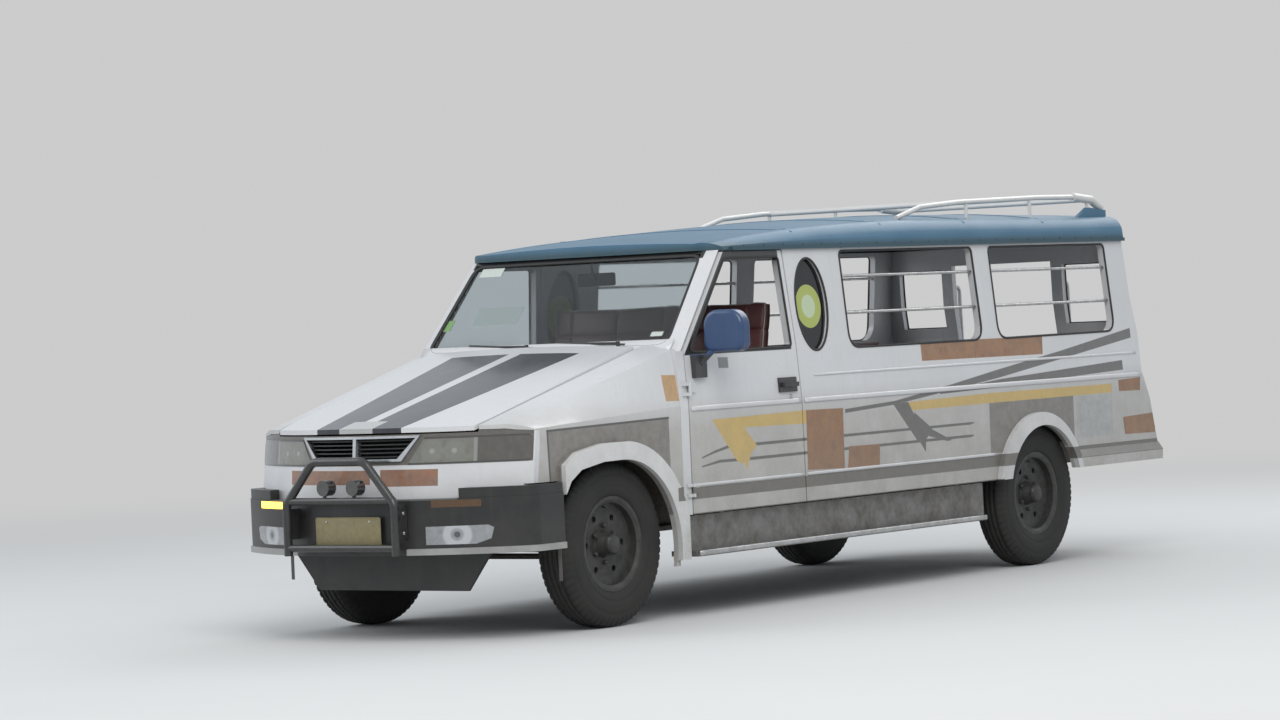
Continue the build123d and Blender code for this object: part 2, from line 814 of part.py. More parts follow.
def arch_liners():
    """Round liners over the front wheels, between the fenders and the engine bay."""
    outer = arch_cut(front_axle_station, tyre_radius, liner_radius)
    inner = arch_cut(front_axle_station, tyre_radius, liner_radius - 10)
    low = Pos(front_axle_station, tyre_radius - 225) * Rectangle(1200, 600)
    ring = side_extrude(outer - inner - low, 404, 790)
    bay = side_extrude(outer - low, rail_x + rail_width / 2 + seat_gap, 404)
    return both_sides(ring + bay)


def windshield_plane():
    foot = Vector(0, windshield_foot[0], windshield_foot[1])
    top = Vector(0, windshield_top[0], windshield_top[1])
    up = (top - foot).normalized()
    return Plane(origin=foot, x_dir=(1, 0, 0), z_dir=(0, -up.Z, up.Y))


def pillar_bevel(head):
    """What is cut off the outer front corner of the left windshield pillar."""
    across, along = pillar_head_half - pillar_foot_half, head + 40
    length = math.hypot(across, along)
    slope = math.hypot(pillar_bevel_width, pillar_bevel_depth)
    outwards = pillar_bevel_depth / slope
    lean = (outwards * along / length, -outwards * across / length, pillar_bevel_width / slope)
    edge = Plane(
        origin=(pillar_head_half, head, -pillar_bevel_depth), x_dir=(across, along, 0), z_dir=lean,
    )
    return windshield_plane() * (edge * Pos(0, 0, 100) * Box(3000, 600, 200))


def door_hinge_lugs():
    """The pillar's half of the left door's hinges: two lugs and a pin at each height."""
    x, y = door_hinge_axis
    reach = 2 * hinge_half
    shape = Part()
    for z in door_hinge_heights:
        shape += rod((x, y, z - reach), (x, y, z + reach), hinge_pin_radius)
        for low in (z - reach, z + hinge_half):
            shape += rod((x, y, low), (x, y, low + hinge_half), hinge_eye_radius)
            shape += block(826, x - 2, y - 45, y - 6, low, low + hinge_half)
    return shape


def door_hinge_eyes():
    """The left door's half of its hinges: an eye round the pin at each height."""
    x, y = door_hinge_axis
    half = hinge_half - seat_gap
    shape = Part()
    for z in door_hinge_heights:
        eye = rod((x, y, z - half), (x, y, z + half), hinge_eye_radius)
        leaf = block(826, x - 2, y + 6, y + 48, z - half, z + half)
        hole = rod((x, y, z - half - 1), (x, y, z + half + 1), hinge_pin_radius + running_gap)
        shape += (eye + leaf) - hole
    return shape


def cowl_frame():
    """Firewall, scuttle, hinge pillars and the windshield's frame in one welded piece."""
    plane = windshield_plane()
    head = windshield_height + 30
    outer = Polygon(
        (-pillar_foot_half, -40), (pillar_foot_half, -40), (pillar_head_half, head),
        (-pillar_head_half, head), align=None,
    )
    inner = Polygon(
        (-glass_bottom_half, glass_sill), (glass_bottom_half, glass_sill),
        (glass_top_half, glass_head), (-glass_top_half, glass_head), align=None,
    )
    frame = extrude(plane * (outer - inner), amount=-pillar_depth)
    frame -= pillar_bevel(head)
    frame -= on_right(pillar_bevel(head))
    frame &= block(-900, 900, 1300, 2000, 1200, gutter_height - seat_gap)
    scuttle = prism_x(
        [
            (scuttle_front, 1250), (scuttle_front, 1272), (scuttle_front + 26, scuttle_high),
            (1424, scuttle_high), (1400, 1245),
        ],
        -634, 634,
    )
    low = floor_top - floor_thickness
    firewall = block(-door_floor_half_width, door_floor_half_width, 1392, 1412, low, 1258)
    pillar = body_skin(fender_rear + seat_gap, door_front - panel_gap, 50)
    pillar &= block(700, 900, 1300, 1500, 485, 1262)
    section = Pos(0, fender_rear + seat_gap, 0) * fender_section(*fender_rear_section)
    cap = extrude(section, amount=40, dir=(0, 1, 0)) & block(600, 900, 1300, 1500, 1150, 1400)
    hinges = door_hinge_lugs() + bonnet_hinge_lugs()
    return frame + scuttle + firewall + both_sides(pillar + cap + hinges)


def glass_panes():
    """Windshield and the two oval panes."""
    edge = seat_gap
    sheet = Polygon(
        (-glass_bottom_half + edge, glass_sill + edge), (glass_bottom_half - edge, glass_sill + edge),
        (glass_top_half - edge, glass_head - edge), (-glass_top_half + edge, glass_head - edge), align=None,
    )
    windshield = extrude(windshield_plane().offset(-glass_inset) * sheet, amount=-glass_thickness)
    oval = Ellipse(oval_half_length - edge, oval_half_height - edge)
    pane = side_extrude(Pos(*oval_centre) * oval, 700, 900)
    pane &= Pos(-16, 0, 0) * body_skin(2300, 2900, glass_thickness)
    return windshield + both_sides(pane)


def dashboard():
    """Dashboard with the steering column's bracket and column."""
    desk = prism_x(
        [(1412.3, 1218), (1600, 1220), (1650, 1170), (1625, 1030), (1560, 1000), (1412.3, 1000)], -742, 742,
    )
    column = rod((driver_x, *column_foot), (driver_x, *column_top), 22)
    return desk + column


def column_direction():
    """The column's direction, as its share along the vehicle and its share upwards."""
    length = math.dist(column_foot, column_top)
    return ((column_top[0] - column_foot[0]) / length, (column_top[1] - column_foot[1]) / length)


def steering_wheel():
    """Rim, three spokes and hub, square to the column."""
    dy, dz = column_direction()
    origin = (driver_x, column_top[0] + dy * seat_gap, column_top[1] + dz * seat_gap)
    plane = Plane(origin=origin, x_dir=(1, 0, 0), z_dir=(0, dy, dz))
    hub = plane * Pos(0, 0, 20) * Cylinder(34, 40)
    rim_ring = plane * Pos(0, 0, 34) * Torus(steering_wheel_radius, 14)
    spoke = Pos(steering_wheel_radius / 2 + 8, 0, 32) * Box(steering_wheel_radius - 26, 26, 8)
    spokes = [plane * Rot(0, 0, angle) * spoke for angle in (0, 180, 270)]
    return hub + rim_ring + spokes


def door_edge(height):
    """The station of the door's front edge, which follows the windshield pillar."""
    if height <= sill_height:
        return door_front
    slope = (windshield_top[0] - windshield_foot[0]) / (windshield_top[1] - windshield_foot[1])
    return door_front + slope * (height - sill_height)


def door():
    """The left door, as thick as its whole wall, with its window cut."""
    outline = [
        (door_front, door_low), (door_rear_low, door_low), (door_rear_low - 10, sill_height),
        (door_rear_top, door_high), (door_edge(door_high), door_high), (door_front, sill_height),
    ]
    shape = body_skin(1400, 2500, wall) & prism_x(outline, 700, 900)
    head = door_high - 30
    window = Polygon(
        (door_front + 40, sill_height), (door_rear_low - 46, sill_height),
        (door_rear_top - 30, head), (door_edge(head) + 32, head), align=None,
    )
    hole = side_extrude(fillet(window.vertices(), 24), 600, 1000)
    return (shape - hole) + door_hinge_eyes()


def outside_mirror():
    """The left outside mirror: foot on the door, arm and round-cornered head."""
    foot = prism_y(
        [
            (half_width_at(1130) + seat_gap, 1130), (half_width_at(1240) + seat_gap, 1240),
            (half_width_at(1240) + 34, 1240), (half_width_at(1130) + 26, 1130),
        ],
        1500, 1590,
    )
    arm = rod((850, 1550, 1200), (950, 1585, 1300), 15)
    face = Rectangle(mirror_width, mirror_height)
    face = fillet(face.vertices().sort_by(Axis.Y)[2:], 78)
    face = fillet(face.vertices().sort_by(Axis.Y)[:2], 42)
    head = extrude(Plane.XZ * face, amount=mirror_depth / 2, both=True)
    ends = head.faces().sort_by(Axis.Y)
    head = fillet(ends[0].edges() + ends[-1].edges(), 20)
    return foot + arm + Pos(*mirror_centre) * head


def door_handle():
    """The left door's handle: a plate with a raised pull."""
    plate = prism_y(
        [
            (half_width_at(1032) + seat_gap, 1032), (half_width_at(1104) + seat_gap, 1104),
            (half_width_at(1104) + 10, 1104), (half_width_at(1032) + 10, 1032),
        ],
        2200, 2350,
    )
    pull = block(half_width_at(1068) + 6, half_width_at(1068) + 34, 2215, 2335, 1058, 1080)
    slot = block(half_width_at(1068) + 13, half_width_at(1068) + 24, 2235, 2315, 1000, 1120)
    return plate + pull - slot


def body_side_panel():
    """The left side of the passenger body, with windows, oval light and flared arch."""
    shape = body_skin(2300, rear_end, wall) & prism_x(side_outline, 700, 900)
    for window in side_windows:
        sketch = Polygon(*window, align=None)
        sketch = fillet(sketch.vertices().sort_by(Axis.Y)[:2], 85)
        sketch = fillet(sketch.vertices().sort_by(Axis.Y)[-2:], 30)
        shape -= side_extrude(sketch, 600, 1000)
    oval = Pos(*oval_centre) * Ellipse(oval_half_length, oval_half_height)
    shape -= side_extrude(oval, 600, 1000)
    well = arch_cut(rear_axle_station, tyre_radius, tyre_radius + 20)
    shape -= side_extrude(well, 600, 818)
    lip = side_extrude(rear_flare, 822, 838 + flare_reach)
    lip &= prism_x(
        [
            (rear_axle_station - 550, door_low), (rear_axle_station, door_low), (rear_axle_station, 505),
            (rear_axle_station + 550, 505), (rear_axle_station + 550, 900), (rear_axle_station - 550, 900),
        ],
        700, 900,
    )
    skirt = prism_y([(838, 505), (862, 505), (866, 560), (838, 600)], rear_axle_station + 250, rear_foot - 27)
    shape += lip
    shape += skirt
    shape -= side_extrude(rear_opening, 700, 900)
    shape -= side_extrude(well, 600, 818)
    return shape


def window_bars():
    """Two rails across each side window, with a low rail on the sill side."""
    bars = []
    for front_foot, rear_foot, rear_head, front_head in side_windows:
        rise = front_head[1] - front_foot[1]
        front_lean = (front_head[0] - front_foot[0]) / rise
        rear_lean = (rear_head[0] - rear_foot[0]) / rise
        for share in (0.36, 0.74):
            z = front_foot[1] + share * rise
            front = front_foot[0] + share * rise * front_lean
            rear = rear_foot[0] + share * rise * rear_lean
            front += seat_gap + window_bar_radius * abs(front_lean)
            rear -= seat_gap + window_bar_radius * abs(rear_lean)
            x = half_width_at(z) - wall / 2
            bars.append(rod((x, front, z), (x, rear, z), window_bar_radius))
    return both_sides(Part() + bars)


def roof_section(width, edge, shoulder, side_top, crown, inset):
    """One cross-section of the roof: straight sides, round shoulders and a crown."""
    foot = (width - inset, edge)
    bend = (width - inset - 6, shoulder - inset)
    knee = (width - 115, side_top - inset)
    middle = (width - inset - 34, bend[1] + 0.7 * (knee[1] - bend[1]))

    def opposite(point):
        return (-point[0], point[1])

    lines = [
        Line(opposite(foot), opposite(bend)),
        ThreePointArc(opposite(bend), opposite(middle), opposite(knee)),
        ThreePointArc(opposite(knee), (0, crown - inset), knee),
        ThreePointArc(knee, middle, bend),
        Line(bend, foot),
        Line(foot, opposite(foot)),
    ]
    return Plane.XZ * make_face(lines)


def roof_loft(edge, inset):
    """The roof's outer form, or its inner one with an inset."""
    return loft([
        Pos(0, station, 0) * roof_section(
            width, edge, gutter_height + shoulder, gutter_height + side_top, gutter_height + crown, inset,
        )
        for station, width, shoulder, side_top, crown in roof_table
    ])


def roof_plan(inset, end):
    """The space inside the roof's plan, with its two front corners round."""
    length = roof_rear - roof_front - inset - end
    half = roof_half_width + 4 - inset
    plan = Pos(0, roof_front + inset + length / 2) * Rectangle(2 * half, length)
    plan = fillet(plan.vertices().sort_by(Axis.Y)[:2], roof_corner - inset)
    return Pos(0, 0, gutter_height - 140) * extrude(plan, amount=400)


def roof():
    """The roof shell, lower at the front, with its gutters and two rear fins."""
    outer = roof_loft(gutter_height, 0) & roof_plan(0, 0)
    inner = roof_loft(gutter_height - 40, roof_thickness) & roof_plan(roof_thickness + 16, roof_end_wall)
    shell = outer - inner
    front = roof_front + roof_corner - 20
    gutter = block(770, 794, front, roof_rear, gutter_low, gutter_height + 14)
    gutter -= block(700, 785.5, front - 20, roof_rear + 20, gutter_low - 10, gutter_height)
    low = gutter_height + 112
    fin = prism_x(
        [
            (roof_rear - 362, low), (roof_rear - 192, gutter_height + 189),
            (roof_rear - 2, gutter_height + 173), (roof_rear - 2, low),
        ],
        fin_inner, fin_outer,
    )
    return shell + both_sides(gutter) + both_sides(fin)


def roof_rack():
    """Two arched side rails with thick rear ends, and three cross tubes between them."""
    points = [(rack_half, roof_rear - y, gutter_height + z) for y, z in rack_route]
    rail = bent_tube(points, 50, rack_tube)
    thick_end = bent_tube(points[-3:], 50, rack_end_radius)
    legs = []
    cross = []
    for ahead, rise in rack_legs:
        y = roof_rear - ahead
        z = gutter_height + rise
        legs.append(rod((rack_half, y, gutter_height + 130), (rack_half, y, z), 10))
        cross.append(rod((-rack_half, y, z), (rack_half, y, z), rack_tube))
    side = rail + thick_end + legs
    return (both_sides(side) + cross) - roof()


def rear_station(height):
    """The station of the rear wall's outer face at a height."""
    for (y_high, z_high), (y_low, z_low) in zip(rear_profile, rear_profile[1:]):
        if height >= z_low:
            return y_low + (y_high - y_low) * (height - z_low) / (z_high - z_low)
    return rear_foot


def rear_frame():
    """The rear wall between the two sides, with the entrance and two small windows."""
    outer = list(rear_profile)
    inner = [(y - wall, z) for y, z in reversed(rear_profile)]
    front = rear_foot - 500
    shape = prism_x(outer + inner, -900, 900) & cabin_core(front, rear_end)
    shape &= block(-900, 900, front, rear_end, floor_top - floor_thickness, gutter_height + 10)
    shape -= block(-entrance_half, entrance_half, front, rear_end, floor_top, entrance_high)
    window = block(400, 690, front, rear_end, rear_window_low, rear_window_high)
    return shape - window - on_right(window)


def rear_step():
    """Rear bumper with its step, two arms to the chassis and a drilled hitch plate."""
    beam = block(-step_half, step_half, rear_end - 80, rear_end, step_low, step_high)
    beam -= block(
        -step_half + 8, step_half - 8, rear_end - 90, rear_end - 8, step_low + 8, step_high - 8,
    )
    arm = block(
        rail_x - 30, rail_x + 30, rail_rear + seat_gap, rear_end - 4, step_low + 12, step_high - 12,
    )
    plate = block(-110, 110, rear_end - 14, rear_end, step_low - 75, step_low + 1)
    holes = [
        rod((x, rear_end - 60, z), (x, rear_end + 20, z), hitch_hole_radius)
        for x in (-hitch_spacing / 2, hitch_spacing / 2) for z in (hitch_low, hitch_low + hitch_rise)
    ]
    return beam + both_sides(arm) + plate - holes


def tail_lamps():
    """Upright lamp blocks on the rear wall, each side of the entrance."""
    low = rear_profile[3][1] + 6
    high = low + 170
    faces = [(rear_station(z) + seat_gap + 0.1, z) for z in (low, high)]
    lamp = [faces[0], faces[1], (faces[1][0] + 30, high), (faces[0][0] + 30, low)]
    return both_sides(prism_x(lamp, 610, 720))


def floor_pan():
    """The floor with a box over each rear wheel."""
    low = floor_top - floor_thickness
    front = block(-door_floor_half_width, door_floor_half_width, 1412.3, 2405, low, floor_top)
    end = rear_station(floor_top) - wall - seat_gap
    rear = block(-rear_floor_half_width, rear_floor_half_width, 2405, end, low, floor_top)
    tub_front = rear_axle_station - 455
    tub_rear = rear_axle_station + 455
    tub = block(575, rear_floor_half_width, tub_front, tub_rear, low, 832)
    tub -= block(590, 900, tub_front + 15, tub_rear - 15, 600, 817)
    hole = block(590, 900, tub_front + 15, tub_rear - 15, 600, 700)
    return front + rear - hole - on_right(hole) + both_sides(tub)


def running_boards():
    """Step boards with their sill panels and brackets under the rails."""
    board = block(700, 862, 1450, rear_axle_station - 635, 285, 310)
    sill = block(778, 790, 1450, rear_axle_station - 550, 300, 476)
    arms = []
    for y in (1750, 2750, rear_axle_station - 800):
        arms.append(block(330, 785, y - 20, y + 20, rail_low - 20, rail_low - seat_gap))
        arms.append(block(765, 785, y - 20, y + 20, 290, rail_low - seat_gap))
    return both_sides(board + sill + arms)


def fuel_tank():
    """A flat tank under the floor on the left, between the rail and the sill."""
    tank = block(420, 720, 2950, 3700, 430, floor_top - floor_thickness - seat_gap)
    return fillet(tank.edges().filter_by(Axis.Y), 40)


def exhaust():
    """Pipe from the engine, out under the rail to a silencer, and back to the tail."""
    pipe = bent_tube(
        [
            (-200, engine_rear + seat_gap, 475), (-200, 1400, 475), (-490, 1560, 475), (-490, 1700, 560),
            (-490, rear_foot - 380, 560), (-490, rear_foot - 230, 455), (-490, rear_foot - 20, 455),
        ],
        60, 20,
    )
    silencer = rod((-490, 2850, 560), (-490, 3500, 560), 58)
    ceiling = floor_top - floor_thickness - seat_gap
    straps = [block(-498, -482, y, y + 20, 575, ceiling) for y in (2000, 4000, rear_foot - 520)]
    return pipe + silencer + straps


def seat_frames():
    """Boxes under the front seats and the side benches."""
    rear = cushion_rear + 90
    driver = block(driver_x - 220, driver_x + 220, 1900, rear, floor_top, seat_height)
    passenger = block(-710, 90, 1900, rear, floor_top, seat_height)
    low = bench_height - 18
    bench = block(380, 395, bench_front, bench_rear, floor_top, low)
    board = block(380, 780, bench_front, bench_rear, low, bench_height)
    ends = [block(380, 560, y, y + 15, floor_top, low) for y in (bench_front, bench_rear - 15)]
    return driver + passenger + both_sides(bench + board + ends)


def cushion(x_low, x_high, y_low, y_high, z_low, z_high, radius):
    """A plain soft block with rounded edges."""
    return fillet(block(x_low, x_high, y_low, y_high, z_low, z_high).edges(), radius)


def seat_cushions():
    low = seat_height + seat_gap
    high = low + front_cushion_thickness
    bench_low = bench_height + seat_gap
    bench_high = bench_low + bench_cushion_thickness
    driver = cushion(driver_x - 230, driver_x + 230, 1890, cushion_rear, low, high, 25)
    passenger = cushion(-720, 100, 1890, cushion_rear, low, high, 25)
    bench = cushion(370, 772, bench_front, bench_rear, bench_low, bench_high, 25)
    return driver + passenger + both_sides(bench)


def seat_back(x_low, x_high):
    """A front seat's back, leaning rearwards from the cushion's rear edge."""
    low = seat_height + seat_gap
    front = cushion_rear + seat_gap
    shape = prism_x([(front, low), (front + 89, low), (2500, 1480), (2430, 1490)], x_low, x_high)
    return fillet(shape.edges(), 22)


def seat_backs():
    low = bench_height + bench_cushion_thickness + 2 * seat_gap
    high = 1228
    outer_low = half_width_at(low) - wall - seat_gap
    outer_high = half_width_at(high) - wall - seat_gap
    outline = [(outer_low - 50, low), (outer_low, low), (outer_high, high), (outer_high - 45, high)]
    bench = prism_y(outline, bench_front, bench_rear)
    return seat_back(driver_x - 225, driver_x + 225) + seat_back(-715, 95) + both_sides(bench)


def wipers():
    """Two wiper arms lying on the windshield's foot."""
    plane = windshield_plane()
    arms = []
    for pivot in (-90, 470):
        stem = rod((pivot, 1404, scuttle_high + seat_gap), (pivot, 1404, 1320), 10)
        arm = rod((pivot, 1404, 1312), (pivot - 190, 1442, 1315), 5)
        blade = plane * Pos(pivot - 190, 50, -2.5) * Rot(0, 0, -4) * Box(420, 12, 10)
        arms.append(stem + arm + blade)
    return whole(Part() + arms)


def wheel_at(shape, side, station):
    """A wheel piece, outside facing outwards, at its axle."""
    if side < 0:
        shape = on_right(shape)
    return Pos(side * wheel_plane, station, tyre_radius) * whole(shape)


left_tyre = tyre()
left_rim = rim()
left_knuckle = knuckle()
left_side = body_side_panel()
left_door = door()
left_handle = door_handle()

nodes = {
    "chassis_frame": chassis_frame(),
    "engine_block": engine_block(),
    "front_axle": front_axle(),
    "rear_axle": rear_axle(),
    "leaf_springs": leaf_springs(),
    "fuel_tank": fuel_tank(),
    "exhaust": exhaust(),
    "floor_pan": floor_pan(),
    "cowl_frame": cowl_frame(),
    "dashboard": dashboard(),
    "glass_panes": glass_panes(),
    "wipers": wipers(),
    "front_fenders": front_fenders(),
    "arch_liners": arch_liners(),
    "nose_panel": nose_panel(),
    "grille": grille(),
    "headlamps": headlamps(),
    "front_bumper": front_bumper(),
    "front_lamps": front_lamps(),
    "bull_bar": bull_bar(),
    "side_left": left_side,
    "side_right": on_right(left_side),
    "window_bars": window_bars(),
    "roof": roof(),
    "roof_rack": roof_rack(),
    "rear_frame": rear_frame(),
    "rear_step": rear_step(),
    "tail_lamps": tail_lamps(),
    "running_boards": running_boards(),
    "seat_frames": seat_frames(),
    "seat_cushions": seat_cushions(),
    "seat_backs": seat_backs(),
    "bonnet": bonnet(),
    "door_left": left_door,
    "door_right": on_right(left_door),
    "door_fittings_left": outside_mirror() + left_handle,
    "door_fittings_right": on_right(left_handle),
    "knuckle_left": left_knuckle,
    "knuckle_right": on_right(left_knuckle),
    "tie_rod": tie_rod(),
    "steering_wheel": steering_wheel(),
    "tyre_front_left": wheel_at(left_tyre, 1, front_axle_station),
    "tyre_front_right": wheel_at(left_tyre, -1, front_axle_station),
    "tyre_rear_left": wheel_at(left_tyre, 1, rear_axle_station),
    "tyre_rear_right": wheel_at(left_tyre, -1, rear_axle_station),
    "wheel_front_left": wheel_at(left_rim, 1, front_axle_station),
    "wheel_front_right": wheel_at(left_rim, -1, front_axle_station),
    "wheel_rear_left": wheel_at(left_rim, 1, rear_axle_station),
    "wheel_rear_right": wheel_at(left_rim, -1, rear_axle_station),
}

mirror_reach = mirror_centre[0] + mirror_width / 2
bumper_end = bumper_half_width + bumper_lip
overall_middle = (mirror_reach - bumper_end) / 2

os.makedirs("parts", exist_ok=True)
for name, shape in nodes.items():
    export_step(Pos(-overall_middle, -middle_station, 0) * whole(shape), f"parts/{name}.step")
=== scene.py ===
import math

import bpy
from mathutils import Matrix, Vector
from mathutils import noise as mathutils_noise
from mathutils.bvhtree import BVHTree


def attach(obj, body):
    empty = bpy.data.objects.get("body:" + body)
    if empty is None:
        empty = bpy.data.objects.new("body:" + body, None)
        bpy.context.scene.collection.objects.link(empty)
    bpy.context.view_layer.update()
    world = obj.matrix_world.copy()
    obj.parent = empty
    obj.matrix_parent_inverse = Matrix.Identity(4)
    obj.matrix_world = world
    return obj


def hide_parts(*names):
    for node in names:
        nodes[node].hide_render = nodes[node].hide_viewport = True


# Jeepney in its paint, with trim, tyres, lamps and upholstery round the CAD frame.
# Metres. Stations are lengths behind the nose datum, so Y is a station less MIDDLE. Widths count
# from the vehicle's middle plane, and the origin lies SIDE to its left, under the overall box.

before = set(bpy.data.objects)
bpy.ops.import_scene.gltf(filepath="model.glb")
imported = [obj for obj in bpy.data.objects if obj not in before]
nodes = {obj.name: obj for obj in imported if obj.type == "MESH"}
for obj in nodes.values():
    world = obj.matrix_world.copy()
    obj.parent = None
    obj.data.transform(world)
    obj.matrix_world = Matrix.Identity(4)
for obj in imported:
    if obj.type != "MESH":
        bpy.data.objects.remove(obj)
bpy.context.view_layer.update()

MIDDLE = 2.94
SIDE = 0.111
FRONT_AXLE = 0.89
REAR_AXLE = 4.65
TYRE_RADIUS = 0.387
WHEEL_PLANE = 0.705
# the body's outer half width by height, from the sill up to the gutter
BODY_SIDE = ((0.485, 0.838), (0.99, 0.840), (1.245, 0.822), (1.738, 0.775))
SIDES = (("left", False), ("right", True))
WHITE = (0.60, 0.60, 0.61)
DIRT = (0.175, 0.160, 0.140)
BLACK_FRAME = (0.022, 0.022, 0.023)


def st(station):
    """The Y of a station."""
    return station - MIDDLE


def half_width(height):
    """The body's outer half width at a height."""
    if height <= BODY_SIDE[0][0]:
        return BODY_SIDE[0][1]
    for (z_low, x_low), (z_high, x_high) in zip(BODY_SIDE, BODY_SIDE[1:]):
        if height <= z_high:
            return x_low + (x_high - x_low) * (height - z_low) / (z_high - z_low)
    return BODY_SIDE[-1][1]


def on_side(station, height, lift=0.0):
    """A point of the left side's face, or outside it by a lift."""
    return Vector((half_width(height) + lift, st(station), height))


# Materials

class Tree:
    """Short words for the nodes of one material."""

    def __init__(self, name):
        self.material = bpy.data.materials.new(name)
        self.material.use_nodes = True
        tree = self.material.node_tree
        self.nodes = tree.nodes
        self.links = tree.links
        self.shader = self.nodes["Principled BSDF"]
        self.place = self.new("ShaderNodeTexCoord").outputs["Object"]
        split = self.new("ShaderNodeSeparateXYZ")
        self.links.new(self.place, split.inputs[0])
        self.x, self.y, self.z = split.outputs
        self.x = self.math("ADD", self.x, SIDE)

    def new(self, kind):
        return self.nodes.new(kind)

    def put(self, value, socket):
        if isinstance(value, bpy.types.NodeSocket):
            self.links.new(value, socket)
        elif isinstance(value, tuple) and len(value) == 3 and socket.type == "RGBA":
            socket.default_value = (*value, 1.0)
        else:
            socket.default_value = value

    def set(self, name, value):
        self.put(value, self.shader.inputs[name])

    def shade(self, colour, rough, **sockets):
        """The shader's colour, roughness and other sockets, with _ for a space in their names."""
        self.set("Base Color", colour)
        self.set("Roughness", rough)
        for key, value in sockets.items():
            self.set(key.replace("_", " "), value)

    def math(self, operation, *values, clamp=False):
        node = self.new("ShaderNodeMath")
        node.operation = operation
        node.use_clamp = clamp
        for value, socket in zip(values, node.inputs):
            self.put(value, socket)
        return node.outputs[0]

    def times(self, first, second, clamp=False):
        return self.math("MULTIPLY", first, second, clamp=clamp)

    def scaled(self, value, factor, start, clamp=False):
        """The value times a factor, on top of a start."""
        return self.math("MULTIPLY_ADD", value, factor, start, clamp=clamp)

    def wide(self):
        """The width from the middle plane, on either side."""
        return self.math("ABSOLUTE", self.x)

    def station(self):
        """The length behind the nose datum."""
        return self.math("ADD", self.y, MIDDLE)

    def away(self, first, a, second, b):
        """The distance from the point (a, b) in two coordinates."""
        da = self.math("SUBTRACT", first, a)
        db = self.math("SUBTRACT", second, b)
        return self.math("SQRT", self.math("ADD", self.times(da, da), self.times(db, db)))

    def spread(self, value, low, high, start=0.0, end=1.0):
        """The value's place between two limits, as a number between two others."""
        node = self.new("ShaderNodeMapRange")
        for v, socket in zip((value, low, high, start, end), node.inputs):
            self.put(v, socket)
        return node.outputs[0]

    def stretch(self, scale, move=(0, 0, 0)):
        node = self.new("ShaderNodeMapping")
        self.put(self.place, node.inputs["Vector"])
        self.put(scale, node.inputs["Scale"])
        self.put(move, node.inputs["Location"])
        return node.outputs[0]

    def noise(self, scale, detail=3.0, roughness=0.5, vector=None, low=0.0, high=1.0):
        node = self.new("ShaderNodeTexNoise")
        self.put(vector or self.place, node.inputs["Vector"])
        self.put(scale, node.inputs["Scale"])
        self.put(detail, node.inputs["Detail"])
        self.put(roughness, node.inputs["Roughness"])
        return self.spread(node.outputs[0], low, high) if (low, high) != (0.0, 1.0) else node.outputs[0]

    def cells(self, scale, vector=None, feature="F1"):
        node = self.new("ShaderNodeTexVoronoi")
        node.feature = feature
        self.put(vector or self.place, node.inputs["Vector"])
        self.put(scale, node.inputs["Scale"])
        return node.outputs["Distance"]

    def wave(self, scale, axis, distortion=0.0, vector=None):
        node = self.new("ShaderNodeTexWave")
        node.bands_direction = axis
        self.put(vector or self.place, node.inputs["Vector"])
        self.put(scale, node.inputs["Scale"])
        self.put(distortion, node.inputs["Distortion"])
        return node.outputs["Fac"]

    def mix(self, share, first, second):
        node = self.new("ShaderNodeMix")
        node.data_type = "RGBA"
        self.put(share, node.inputs[0])
        self.put(first, node.inputs[6])
        self.put(second, node.inputs[7])
        return node.outputs[2]

    def bump(self, height, distance, strength=1.0):
        node = self.new("ShaderNodeBump")
        node.inputs["Distance"].default_value = distance
        node.inputs["Strength"].default_value = strength
        self.put(height, node.inputs["Height"])
        if self.shader.inputs["Normal"].is_linked:
            self.put(self.shader.inputs["Normal"].links[0].from_socket, node.inputs["Normal"])
        self.links.new(node.outputs[0], self.shader.inputs["Normal"])

    def above(self, value, limit, soft=0.002):
        """1 where the value is over a limit."""
        return self.spread(value, limit - soft / 2, limit + soft / 2)

    def below(self, value, limit, soft=0.002):
        """1 where the value is under a limit."""
        return self.spread(value, limit + soft / 2, limit - soft / 2)

    def all_of(self, *masks):
        """1 where every mask is 1."""
        result = masks[0]
        for mask in masks[1:]:
            result = self.times(result, mask)
        return result

    def any_of(self, *masks):
        """1 where one of the masks is 1."""
        result = masks[0]
        for mask in masks[1:]:
            result = self.math("MAXIMUM", result, mask)
        return result

    def between(self, value, low, high, soft=0.002):
        return self.all_of(self.above(value, low, soft), self.below(value, high, soft))

    def polygon(self, pair, points, soft=0.003):
        """1 inside a convex outline of (first, second) points, of a vector (first, second, 1)."""
        area = sum(a[0] * b[1] - b[0] * a[1] for a, b in zip(points, points[1:] + points[:1]))
        if area < 0:
            points = points[::-1]
        nearest = None
        for a, b in zip(points, points[1:] + points[:1]):
            length = math.dist(a, b)
            nx, ny = -(b[1] - a[1]) / length, (b[0] - a[0]) / length
            node = self.new("ShaderNodeVectorMath")
            node.operation = "DOT_PRODUCT"
            self.put(pair, node.inputs[0])
            self.put((nx, ny, -(nx * a[0] + ny * a[1])), node.inputs[1])
            distance = node.outputs["Value"]
            nearest = distance if nearest is None else self.math("MINIMUM", nearest, distance)
        return self.spread(nearest, -soft / 2, soft / 2)

    def polygons(self, pair, *outlines):
        """1 inside any of several convex outlines."""
        return self.any_of(*[self.polygon(pair, points) for points in outlines])

